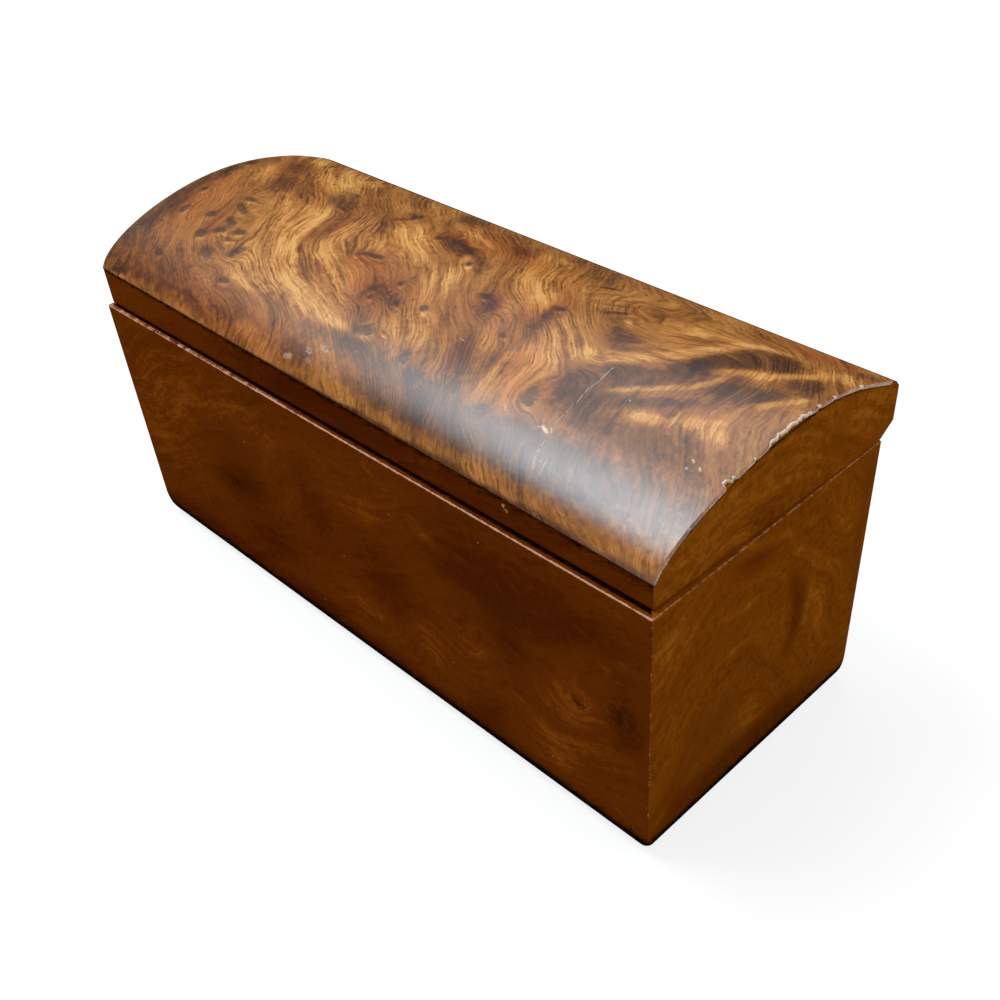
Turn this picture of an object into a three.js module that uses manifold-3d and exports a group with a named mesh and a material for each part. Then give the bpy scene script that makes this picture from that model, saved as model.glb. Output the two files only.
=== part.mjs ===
// Keepsake box with a domed lid, hinged at the back.
// Millimetres. X runs along the length, Y towards the back and Z up.
// The origin is the centre of the underside, so the box stands on Z = 0.

import * as THREE from 'three';
import { mergeVertices } from 'three/addons/utils/BufferGeometryUtils.js';
import Module from 'manifold-3d';

const wasm = await Module();
wasm.setup();

// Base: four mitred boards round a bottom panel
const baseLength = 200;
const baseDepth = 77.3;
const baseHeight = 72.6;
const wallThickness = 8;
const bottomRounding = 4.4;
const rimEasing = 0.4;
const bottomThickness = 5;
const rebateWidth = 2.5;
const bottomFit = 0.15;

// Lid: where its outer faces stand against the base's
const lidFrontSetback = 1.85;
const lidBackOverhang = 3.95;
const lidLeftOverhang = 0.1;
const lidRightFrontInset = 1.45;
const lidRightBackInset = 0.1;

// Dome: the hand-shaped outline at each end, measured up from the seam and back from the lid's front
const leftDome = { bandHeight: 10.4, crownHeight: 24.5, crownPlace: 42.5, backHeight: 18.4 };
const rightDome = { bandHeight: 6.6, crownHeight: 21.4, crownPlace: 47.5, backHeight: 14.4 };
const domeShares = {
  shoulderRunShare: 0.07,
  shoulderRiseShare: 0.52,
  frontCrownShare: 0.41,
  backCrownShare: 0.43,
  backRunShare: 0.31,
  backDropShare: 0.47,
};
const veneerThickness = 0.8;
const veneerBackMargin = 3.1;
const backCornerDrop = 4.2;
const domePanelThickness = 5;

// Hinges: two brass butt hinges, sunk between the back wall and the lid's back rail
const hingeLength = 25;
const hingeEndDistance = 42;
const hingeAxisOut = 1;
const leafInnerMargin = 2;
const leafThickness = 0.9;
const leafGap = 0.3;
const barrelRadius = 1.6;
const pinRadius = 0.8;
const pinFit = 0.05;
const knuckleCount = 5;
const knuckleGap = 0.2;
const recessFit = 0.25;
const lidOpening = 124;
const stopMargin = 1;

// Screws: countersunk, slotted, two in each leaf
const screwLength = 6;
const screwHeadRadius = 1.7;
const screwShankRadius = 0.9;
const screwTipLength = 1.6;
const screwSpacing = 15;
const screwFit = 0.05;
const slotWidth = 0.45;
const slotDepth = 0.35;

// Every cut runs this far past the faces that it opens
const overrun = 2;

// Smoothness, in counts of facets
const frontArcSteps = 14;
const backArcSteps = 10;
const cornerSteps = 5;
const roundingSteps = 6;
const barrelSides = 32;
const screwSides = 16;

// Sizes and places that follow
const innerLength = baseLength - 2 * wallThickness;
const innerDepth = baseDepth - 2 * wallThickness;
const lidFrontY = lidFrontSetback - baseDepth / 2;
const lidDepth = baseDepth - lidFrontSetback + lidBackOverhang;
const lidLeftX = -baseLength / 2 - lidLeftOverhang;
const lidInnerFront = wallThickness - lidFrontSetback;
const lidInnerBack = lidInnerFront + innerDepth;
const veneerEnd = lidDepth - veneerBackMargin;
const hingePlaces = [hingeEndDistance - baseLength / 2, baseLength / 2 - hingeEndDistance];
const hingeAxisY = baseDepth / 2 + hingeAxisOut;
const lidHingeY = hingeAxisY - lidFrontY;
const bevelAngle = THREE.MathUtils.degToRad(lidOpening + stopMargin - 90);
const bevelStart = lidHingeY - hingeAxisOut / Math.sin(bevelAngle);
const bevelTop = (lidDepth - bevelStart) * Math.tan(bevelAngle);
const leafReach = wallThickness + hingeAxisOut - leafInnerMargin;
const leafFaceHeight = leafGap / 2;
const leafRecessDepth = leafFaceHeight + leafThickness;
const screwSetIn = (leafReach + barrelRadius) / 2;
const screwOffsets = [-screwSpacing / 2, screwSpacing / 2];

const boardWood = new THREE.MeshStandardMaterial({ color: 0x5c300f, roughness: 0.28, metalness: 0 });
const endWood = new THREE.MeshStandardMaterial({ color: 0x6e3c0c, roughness: 0.28, metalness: 0 });
const burlWood = new THREE.MeshStandardMaterial({ color: 0xa8703c, roughness: 0.32, metalness: 0 });
const insideWood = new THREE.MeshStandardMaterial({ color: 0x8a5c34, roughness: 0.6, metalness: 0 });
const brass = new THREE.MeshStandardMaterial({ color: 0xb8924c, roughness: 0.35, metalness: 1 });

/** Turns a closed three.js geometry into a solid that can be joined and cut. */
function solidOf(geometry) {
  const bare = geometry.clone();
  bare.deleteAttribute('normal');
  bare.deleteAttribute('uv');
  const merged = mergeVertices(bare);
  return new wasm.Manifold(new wasm.Mesh({
    numProp: 3,
    vertProperties: new Float32Array(merged.attributes.position.array),
    triVerts: new Uint32Array(merged.index.array),
  }));
}

/** Turns a solid back into a three.js geometry with flat faces. */
function geometryOf(solid) {
  const mesh = solid.getMesh();
  const geometry = new THREE.BufferGeometry();
  geometry.setAttribute('position', new THREE.BufferAttribute(new Float32Array(mesh.vertProperties), 3));
  geometry.setIndex(new THREE.BufferAttribute(new Uint32Array(mesh.triVerts), 1));
  const flat = geometry.toNonIndexed();
  flat.computeVertexNormals();
  return flat;
}

function namedMesh(name, solid, material) {
  const mesh = new THREE.Mesh(geometryOf(solid), material);
  mesh.name = name;
  return mesh;
}

function movedBox(width, depth, height, x, y, z) {
  return solidOf(new THREE.BoxGeometry(width, depth, height).translate(x, y, z));
}

function cylinderAlongX(radius, length, x) {
  const cylinder = new THREE.CylinderGeometry(radius, radius, length, barrelSides);
  return solidOf(cylinder.rotateZ(Math.PI / 2).translate(x, 0, 0));
}

/** Extrudes an outline drawn in Y and Z along X, centred on X = 0. */
function prismAlongX(shape, length) {
  const prism = new THREE.ExtrudeGeometry(shape, {
    depth: length,
    bevelEnabled: false,
    curveSegments: roundingSteps,
  });
  const turn = new THREE.Matrix4().makeBasis(
    new THREE.Vector3(0, 1, 0),
    new THREE.Vector3(0, 0, 1),
    new THREE.Vector3(1, 0, 0),
  );
  return prism.translate(0, 0, -length / 2).applyMatrix4(turn);
}

/** Stands a plan outline up from zBottom to zTop. */
function planPrism(corners, zBottom, zTop) {
  const shape = new THREE.Shape(corners);
  const prism = new THREE.ExtrudeGeometry(shape, { depth: zTop - zBottom, bevelEnabled: false });
  return solidOf(prism.translate(0, 0, zBottom));
}

/** The point past `outer`, seen from `inner`, by as much of their distance as the overrun is of `size`. */
function pastCorner(outer, inner, size) {
  const step = outer.clone().sub(inner).multiplyScalar(overrun / size);
  return outer.clone().add(step);
}

/** One side of a mitred frame in plan: the stretch from corner a to corner b, cut at both mitres. */
function mitredSide(outer, inner, a, b, size) {
  return [
    pastCorner(outer[a], inner[a], size),
    pastCorner(outer[b], inner[b], size),
    inner[b],
    inner[a],
  ];
}

/** Corners of a rectangle in plan, from the left front one anticlockwise. */
function rectangle(xLow, xHigh, yLow, yHigh) {
  return [
    new THREE.Vector2(xLow, yLow),
    new THREE.Vector2(xHigh, yLow),
    new THREE.Vector2(xHigh, yHigh),
    new THREE.Vector2(xLow, yHigh),
  ];
}

// Base

/** A wall's section: outer face at Y = outerY, rounded below, eased at the rim and rebated inside. */
function wallSection(outerY) {
  const innerY = outerY + wallThickness;
  const rebateY = innerY - rebateWidth;
  const section = new THREE.Shape();
  section.moveTo(outerY, baseHeight - rimEasing);
  section.lineTo(outerY, bottomRounding);
  section.absarc(outerY + bottomRounding, bottomRounding, bottomRounding, Math.PI, 1.5 * Math.PI, false);
  section.lineTo(rebateY, 0);
  section.lineTo(rebateY, bottomThickness);
  section.lineTo(innerY, bottomThickness);
  section.lineTo(innerY, baseHeight);
  section.lineTo(outerY + rimEasing, baseHeight);
  return section;
}

/** A mitred wall of the base, drawn as the front one of a box of the given length and depth. */
function baseWall(length, depth) {
  const outer = rectangle(-length / 2, length / 2, -depth / 2, depth / 2);
  const inner = rectangle(
    wallThickness - length / 2,
    length / 2 - wallThickness,
    wallThickness - depth / 2,
    depth / 2 - wallThickness,
  );
  const blank = solidOf(prismAlongX(wallSection(-depth / 2), length));
  const mitres = planPrism(mitredSide(outer, inner, 0, 1, wallThickness), -overrun, baseHeight + overrun);
  return blank.intersect(mitres);
}

function bottomPanel() {
  const margin = 2 * (rebateWidth - bottomFit);
  return movedBox(
    innerLength + margin,
    innerDepth + margin,
    bottomThickness,
    0,
    0,
    bottomThickness / 2,
  );
}

// Lid

/** The two curves of the dome's outline at one end, from the front band over the crown to the back. */
function domeCurves(end) {
  const rise = end.crownHeight - end.bandHeight;
  const drop = end.crownHeight - end.backHeight;
  const backRun = veneerEnd - end.crownPlace;
  const crown = new THREE.Vector2(end.crownPlace, end.crownHeight);
  const front = new THREE.CubicBezierCurve(
    new THREE.Vector2(0, end.bandHeight),
    new THREE.Vector2(
      end.crownPlace * domeShares.shoulderRunShare,
      end.bandHeight + rise * domeShares.shoulderRiseShare,
    ),
    new THREE.Vector2(end.crownPlace * (1 - domeShares.frontCrownShare), end.crownHeight),
    crown,
  );
  const back = new THREE.CubicBezierCurve(
    crown,
    new THREE.Vector2(end.crownPlace + backRun * domeShares.backCrownShare, end.crownHeight),
    new THREE.Vector2(
      veneerEnd - backRun * domeShares.backRunShare,
      end.backHeight + drop * domeShares.backDropShare,
    ),
    new THREE.Vector2(veneerEnd, end.backHeight),
  );
  return { front, back };
}

/** Points along the dome's outline at one end, each set `depth` below the surface along its normal. */
function domePoints(end, depth) {
  const { front, back } = domeCurves(end);
  const place = (curve, share) => {
    const tangent = curve.getTangent(share);
    const inward = new THREE.Vector2(tangent.y, -tangent.x);
    return curve.getPoint(share).addScaledVector(inward, depth);
  };
  const points = [];
  for (let step = 0; step < frontArcSteps; step += 1) {
    points.push(place(front, step / frontArcSteps));
  }
  for (let step = 0; step <= backArcSteps; step += 1) {
    points.push(place(back, step / backArcSteps));
  }
  return points;
}

/** The rounded corner from the veneer's back edge down to the lid's back face. */
function backCornerPoints(end) {
  const { back } = domeCurves(end);
  const slope = back.getTangent(1);
  const start = back.getPoint(1);
  const curve = new THREE.QuadraticBezierCurve(
    start,
    new THREE.Vector2(lidDepth, start.y + (veneerBackMargin * slope.y) / slope.x),
    new THREE.Vector2(lidDepth, end.backHeight - backCornerDrop),
  );
  return curve.getPoints(cornerSteps);
}

/** The lid's section at one end, under the veneer, with the bevel that becomes its stop. */
function lidOutline(end) {
  return [
    new THREE.Vector2(bevelStart, 0),
    new THREE.Vector2(0, 0),
    new THREE.Vector2(0, end.bandHeight),
    ...domePoints(end, veneerThickness),
    ...backCornerPoints(end),
    new THREE.Vector2(lidDepth, bevelTop),
  ];
}

/** The veneer's section: the dome's surface, and the same line one thickness below it. */
function veneerOutline(end) {
  return [...domePoints(end, 0), ...domePoints(end, veneerThickness).reverse()];
}

/** The hollow under the dome panel, open below. The panel is as thick all over, measured upright. */
function hollowOutline(end) {
  const lowered = new THREE.Vector2(0, -veneerThickness - domePanelThickness);
  const ceiling = domePoints(end, 0).map((point) => point.add(lowered));
  return [
    new THREE.Vector2(0, -overrun),
    ...ceiling,
    new THREE.Vector2(veneerEnd, -overrun),
  ];
}

/** The lid's right end leans in towards the front, so its place depends on the depth. */
function lidRightX(y) {
  const inset = THREE.MathUtils.lerp(lidRightFrontInset, lidRightBackInset, y / lidDepth);
  return baseLength / 2 - inset;
}

/**
 * A solid ruled between an outline at the lid's left end and one at its right end.
 * Both outlines have as many points, in Y and Z, and run clockwise as seen from the right.
 */
function ruledSolid(leftOutline, rightOutline) {
  const count = leftOutline.length;
  const left = leftOutline.map((point) => [lidLeftX, point.x, point.y]);
  const right = rightOutline.map((point) => [lidRightX(point.x), point.x, point.y]);
  const triangles = [];
  for (let here = 0; here < count; here += 1) {
    const next = (here + 1) % count;
    const forward = leftOutline[here].x <= leftOutline[next].x;
    if (forward) {
      triangles.push([here, next + count, next], [here, here + count, next + count]);
    } else {
      triangles.push([here, here + count, next], [next, here + count, next + count]);
    }
  }
  for (const [a, b, c] of THREE.ShapeUtils.triangulateShape(rightOutline, [])) {
    triangles.push([a + count, b + count, c + count]);
  }
  for (const [a, b, c] of THREE.ShapeUtils.triangulateShape(leftOutline, [])) {
    triangles.push([a, c, b]);
  }
  const geometry = new THREE.BufferGeometry();
  geometry.setAttribute('position', new THREE.Float32BufferAttribute([...left, ...right].flat(), 3));
  geometry.setIndex(triangles.flat());
  return solidOf(geometry);
}

/** The lid's pieces, in the lid's own frame: Y from its front face, Z from the seam. */
function lidPieces(recesses) {
  const tallest = Math.max(leftDome.crownHeight, rightDome.crownHeight) + overrun;
  const outer = [
    new THREE.Vector2(lidLeftX, 0),
    new THREE.Vector2(lidRightX(0), 0),
    new THREE.Vector2(lidRightX(lidDepth), lidDepth),
    new THREE.Vector2(lidLeftX, lidDepth),
  ];
  const inner = rectangle(-innerLength / 2, innerLength / 2, lidInnerFront, lidInnerBack);
  const blank = ruledSolid(lidOutline(leftDome), lidOutline(rightDome)).subtract(recesses);
  const side = (a, b) => {
    const plan = mitredSide(outer, inner, a, b, wallThickness);
    return blank.intersect(planPrism(plan, -overrun, tallest));
  };
  const middle = blank.intersect(planPrism(inner, -overrun, tallest));
  const hollow = ruledSolid(hollowOutline(leftDome), hollowOutline(rightDome));
  return {
    frontRail: side(0, 1),
    rightEnd: side(1, 2),
    backRail: side(2, 3),
    leftEnd: side(3, 0),
    panel: middle.subtract(hollow),
    veneer: ruledSolid(veneerOutline(leftDome), veneerOutline(rightDome)),
  };
}

// Screws and hinges

/** A countersunk screw, its head's flat face on Z = 0 and its tip below, grown by `fit` all round. */
function screwBlank(fit) {
  const headDepth = screwHeadRadius - screwShankRadius;
  const profile = [
    new THREE.Vector2(0, -screwLength - fit),
    new THREE.Vector2(screwShankRadius + fit, -screwLength + screwTipLength - fit),
    new THREE.Vector2(screwShankRadius + fit, -headDepth - fit),
    new THREE.Vector2(screwHeadRadius + fit, -fit),
    new THREE.Vector2(screwHeadRadius + fit, 0),
    new THREE.Vector2(0, 0),
  ];
  return new THREE.LatheGeometry(profile, screwSides).rotateX(Math.PI / 2);
}

function screw() {
  const slot = movedBox(2 * (screwHeadRadius + overrun), slotWidth, 2 * slotDepth, 0, 0, 0);
  return solidOf(screwBlank(0)).subtract(slot);
}

/** Holes for a leaf's screws, in the hinge's frame: side -1 is the base's leaf and 1 the lid's. */
function screwHoles(side) {
  let holes = null;
  for (const x of screwOffsets) {
    const blank = screwBlank(screwFit);
    if (side > 0) {
      blank.rotateX(Math.PI);
    }
    const hole = solidOf(blank.translate(x, -screwSetIn, side * leafFaceHeight));
    holes = holes ? holes.add(hole) : hole;
  }
  return holes;
}

/** Knuckles of one leaf, or the room that they need in the other leaf. */
function knuckles(side, radius, growth) {
  const pitch = hingeLength / knuckleCount;
  let barrel = null;
  for (let index = 0; index < knuckleCount; index += 1) {
    const ownsKnuckle = index % 2 === (side < 0 ? 0 : 1);
    if (ownsKnuckle) {
      const x = (index + 0.5) * pitch - hingeLength / 2;
      const knuckle = cylinderAlongX(radius, pitch + growth, x);
      barrel = barrel ? barrel.add(knuckle) : knuckle;
    }
  }
  return barrel;
}

/** One leaf: a plate with screw holes, rolled into knuckles round the pin. */
function hingeLeaf(side) {
  const plateZ = side * (leafFaceHeight + leafThickness / 2);
  const plate = movedBox(hingeLength, leafReach, leafThickness, 0, -leafReach / 2, plateZ);
  const bore = cylinderAlongX(pinRadius + pinFit, hingeLength + overrun, 0);
  return plate
    .add(knuckles(side, barrelRadius, 0))
    .subtract(knuckles(-side, barrelRadius + knuckleGap, 2 * knuckleGap))
    .subtract(bore)
    .subtract(screwHoles(side));
}

/** What a hinge takes out of the wood above and below the seam, in the hinge's frame. */
function hingeRecess() {
  const length = hingeLength + 2 * recessFit;
  const reach = leafReach + recessFit;
  return movedBox(length, reach, 2 * leafRecessDepth, 0, -reach / 2, 0)
    .add(cylinderAlongX(barrelRadius + recessFit, length, 0))
    .add(screwHoles(-1))
    .add(screwHoles(1));
}

/** The recesses of both hinges, with the hinge axis at the given Y and Z. */
function hingeRecesses(y, z) {
  const recess = geometryOf(hingeRecess());
  const placed = hingePlaces.map((x) => solidOf(recess.clone().translate(x, y, z)));
  return placed[0].add(placed[1]);
}

// Assembly

function buildBase() {
  const group = new THREE.Group();
  const longWall = baseWall(baseLength, baseDepth);
  const endWall = baseWall(baseDepth, baseLength);
  const turnedRecesses = solidOf(geometryOf(hingeRecesses(hingeAxisY, baseHeight)).rotateZ(Math.PI));

  const front = namedMesh('front_wall', longWall, boardWood);
  const back = namedMesh('back_wall', longWall.subtract(turnedRecesses), boardWood);
  back.rotation.z = Math.PI;
  const right = namedMesh('right_end_wall', endWall, endWood);
  right.rotation.z = Math.PI / 2;
  const left = namedMesh('left_end_wall', endWall, endWood);
  left.rotation.z = -Math.PI / 2;
  group.add(front, right, back, left, namedMesh('bottom_panel', bottomPanel(), insideWood));
  return group;
}

function buildLid() {
  const group = new THREE.Group();
  group.position.set(0, lidFrontY, baseHeight);
  const pieces = lidPieces(hingeRecesses(lidHingeY, 0));
  group.add(
    namedMesh('lid_front_rail', pieces.frontRail, boardWood),
    namedMesh('lid_right_end', pieces.rightEnd, endWood),
    namedMesh('lid_back_rail', pieces.backRail, boardWood),
    namedMesh('lid_left_end', pieces.leftEnd, endWood),
    namedMesh('dome_panel', pieces.panel, insideWood),
    namedMesh('dome_veneer', pieces.veneer, burlWood),
  );
  return group;
}

function buildHinge(number, x) {
  const group = new THREE.Group();
  group.position.set(x, hingeAxisY, baseHeight);
  const leaves = { base: -1, lid: 1 };
  for (const [body, side] of Object.entries(leaves)) {
    group.add(namedMesh(`hinge_${number}_${body}_leaf`, hingeLeaf(side), brass));
    screwOffsets.forEach((offset, index) => {
      const mesh = namedMesh(`hinge_${number}_${body}_screw_${index + 1}`, screw(), brass);
      mesh.position.set(offset, -screwSetIn, side * leafFaceHeight);
      mesh.rotation.x = side > 0 ? Math.PI : 0;
      group.add(mesh);
    });
  }
  group.add(namedMesh(`hinge_${number}_pin`, cylinderAlongX(pinRadius, hingeLength, 0), brass));
  return group;
}

const keepsakeBox = new THREE.Group();
keepsakeBox.name = 'keepsake_box';
keepsakeBox.add(buildBase(), buildLid());
hingePlaces.forEach((x, index) => keepsakeBox.add(buildHinge(index + 1, x)));

export default keepsakeBox;
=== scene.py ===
"""A keepsake box in burl wood with a hand-shaped domed lid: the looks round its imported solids.

Every length in the classes below is in millimetres, in the frame of the solids: X along the
length, Y towards the back, Z up, and the origin in the middle of the underside.
"""

import logging
import math
from dataclasses import dataclass, replace
from enum import Enum

import bmesh
import bpy
import numpy as np
from mathutils import Matrix


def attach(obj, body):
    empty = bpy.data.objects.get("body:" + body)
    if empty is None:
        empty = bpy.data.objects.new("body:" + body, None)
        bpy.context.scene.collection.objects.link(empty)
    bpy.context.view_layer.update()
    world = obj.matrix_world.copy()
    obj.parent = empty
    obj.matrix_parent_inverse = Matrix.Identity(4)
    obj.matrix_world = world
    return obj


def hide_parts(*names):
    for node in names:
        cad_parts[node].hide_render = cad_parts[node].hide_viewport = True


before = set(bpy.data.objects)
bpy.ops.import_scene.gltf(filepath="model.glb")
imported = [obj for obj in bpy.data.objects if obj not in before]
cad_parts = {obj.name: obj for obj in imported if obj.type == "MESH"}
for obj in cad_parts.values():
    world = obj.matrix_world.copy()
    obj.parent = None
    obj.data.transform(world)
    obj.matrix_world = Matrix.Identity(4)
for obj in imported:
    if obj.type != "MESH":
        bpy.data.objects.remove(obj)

MM = 0.001
LOG = logging.getLogger("keepsake_box")

Array = np.ndarray
Tone = tuple[float, float, float]
Colour = tuple[float, float, float, float]
Ramp = tuple[tuple[float, Tone], ...]
Span = tuple[float, float]


class Body(Enum):
    """The two bodies that the hinges join."""

    BASE = "base"
    LID = "lid"


class Slot(Enum):
    """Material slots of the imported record."""

    BOARD = "board_wood"
    END = "end_wood"
    BURL = "burl_veneer"
    INSIDE = "inside_wood"
    HINGE = "hinge_brass"
    SCREW = "screw_brass"


class Side(Enum):
    """The four sides of a mitred frame, named as they are seen from the front."""

    FRONT = 0
    RIGHT = 1
    BACK = 2
    LEFT = 3


Finishes = dict[Slot, bpy.types.Material]


# Arithmetic


def linear(tone: Tone) -> Colour:
    """Turns a tone written as three screen values from 0 to 255 into a linear colour.

    Args:
        tone: Red, green and blue as a screen shows them.

    Returns:
        The linear colour with an alpha of one.
    """
    share = np.asarray(tone, float) / 255
    low = share / 12.92
    high = ((share + 0.055) / 1.055) ** 2.4
    red, green, blue = np.where(share <= 0.04045, low, high).tolist()
    return red, green, blue, 1.0


def mix(low: Array, high: Array, share: Array) -> Array:
    """The point at a share of the way from low to high."""
    return low + (high - low) * share


def ease(value: Array, low: float, high: float) -> Array:
    """Rises from 0 at low to 1 at high along the curve 3t^2 - 2t^3."""
    t = np.clip((value - low) / (high - low), 0, 1)
    return t * t * (3 - 2 * t)


def bell(value: Array, width: float | Array) -> Array:
    """The bell curve e^(-(value / width)^2)."""
    return np.exp(-((value / width) ** 2))


def rounding(count: int) -> tuple[Array, Array]:
    """A quarter circle round a corner, as its distances from the two faces: 1 - sin t, 1 - cos t."""
    arc = np.linspace(0, math.pi / 2, count)
    return 1 - np.sin(arc), 1 - np.cos(arc)


def spaced(*stretches: tuple[float, float, int]) -> Array:
    """Even steps over stretches that follow each other, each given as start, end and count.

    Args:
        stretches: Start, end and count of points of each stretch.

    Returns:
        All the steps, with each shared end given once.
    """
    return np.concatenate([
        *(np.linspace(*stretch)[:-1] for stretch in stretches[:-1]), np.linspace(*stretches[-1]),
    ])


def ring_of(**parts: Array) -> tuple[Array, dict[str, slice]]:
    """Joins the named stretches of a section into one ring, and says where each of them lies.

    Args:
        parts: The stretches by name, in their order round the ring.

    Returns:
        The whole ring, and the slice of it that each stretch takes.
    """
    ends = np.cumsum([len(part) for part in parts.values()])
    at = {name: slice(end - len(part), end) for (name, part), end in zip(parts.items(), ends)}
    return np.concatenate(list(parts.values())), at


# Meshes


def ring_faces(stations: int, ring: int) -> list[list[int]]:
    """Faces of a tube of closed rings: quads between neighbours and one face over each end.

    Args:
        stations: How many rings follow each other.
        ring: How many points each ring has.

    Returns:
        Each face as the indices of its corners.
    """
    i, j = np.meshgrid(np.arange(stations - 1), np.arange(ring), indexing="ij")
    here, beside = i * ring + j, i * ring + (j + 1) % ring
    quads = np.stack([here, beside, beside + ring, here + ring], -1).reshape(-1, 4)
    return [*quads.tolist(), [*range(ring)][::-1], [*range((stations - 1) * ring, stations * ring)]]


def sheet_faces(rows: int, columns: int) -> list[list[int]]:
    """Quads of an open grid of rows by columns of points.

    Args:
        rows: How many rows of points.
        columns: How many points each row has.

    Returns:
        Each face as the indices of its corners.
    """
    i, j = np.meshgrid(np.arange(rows - 1), np.arange(columns - 1), indexing="ij")
    here = i * columns + j
    return np.stack([here, here + 1, here + columns + 1, here + columns], -1).reshape(-1, 4).tolist()


def make_mesh(name: str, points: Array, faces: list[list[int]], sharp: float = 40) -> bpy.types.Object:
    """Makes an object at the origin from points in millimetres, its faces pointing outwards.

    Args:
        name: The object's name.
        points: Points, in any grid whose last axis is X, Y and Z.
        faces: Faces as indices into the flattened points.
        sharp: Edges that bend by more than this many degrees stay crisp.

    Returns:
        The new object.
    """
    mesh = bpy.data.meshes.new(name)
    mesh.from_pydata((points.reshape(-1, 3) * MM).tolist(), [], faces)
    shell = bmesh.new()
    shell.from_mesh(mesh)
    if shell.calc_volume(signed=True) < 0:
        bmesh.ops.reverse_faces(shell, faces=shell.faces[:])
    shell.to_mesh(mesh)
    shell.free()
    mesh.polygons.foreach_set("use_smooth", np.ones(len(mesh.polygons), bool))
    mesh.set_sharp_from_angle(angle=math.radians(sharp))
    mesh.update()
    made = bpy.data.objects.new(name, mesh)
    bpy.context.scene.collection.objects.link(made)
    return made


@dataclass(frozen=True)
class Piece:
    """A new piece: its name, the solid that it stands for, its body and its material slot."""

    name: str
    solid: str
    body: Body
    slot: Slot

    def make(self, points: Array, values: dict[str, Array], finishes: Finishes, sharp: float = 40) -> None:
        """Makes the piece from closed rings of points, hangs it on its body and hides the solid that it
        stands for.

        Args:
            points: Points in millimetres as stations by points of the ring.
            values: Point attributes by name, each with one value per point.
            finishes: The finish of every slot.
            sharp: Edges that bend by more than this many degrees stay crisp.
        """
        piece = make_mesh(self.name, points, ring_faces(*points.shape[:2]), sharp)
        for key, value in values.items():
            layer = piece.data.attributes.new(key, "FLOAT", "POINT")
            layer.data.foreach_set("value", np.ascontiguousarray(value.reshape(-1), np.float32))
        piece.data.materials.append(finishes[self.slot])
        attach(piece, self.body.value)
        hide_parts(self.solid)
        LOG.info("%s: %d faces, stands for %s", self.name, len(piece.data.polygons), self.solid)


def refinish(solid: str, finish: bpy.types.Material) -> None:
    """Gives a solid that is shown as it is another finish, and reports it.

    Args:
        solid: The solid's name.
        finish: What it is shown in.
    """
    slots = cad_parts[solid].data.materials
    slots.clear()
    slots.append(finish)
    LOG.info("%s: %s", solid, finish.name)


# The dome's shape


@dataclass(frozen=True)
class DomeEnd:
    """The dome's outline at one end of the lid, up from the seam and back from the lid's front."""

    band: float
    crown: float
    crown_place: float
    back: float


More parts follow.
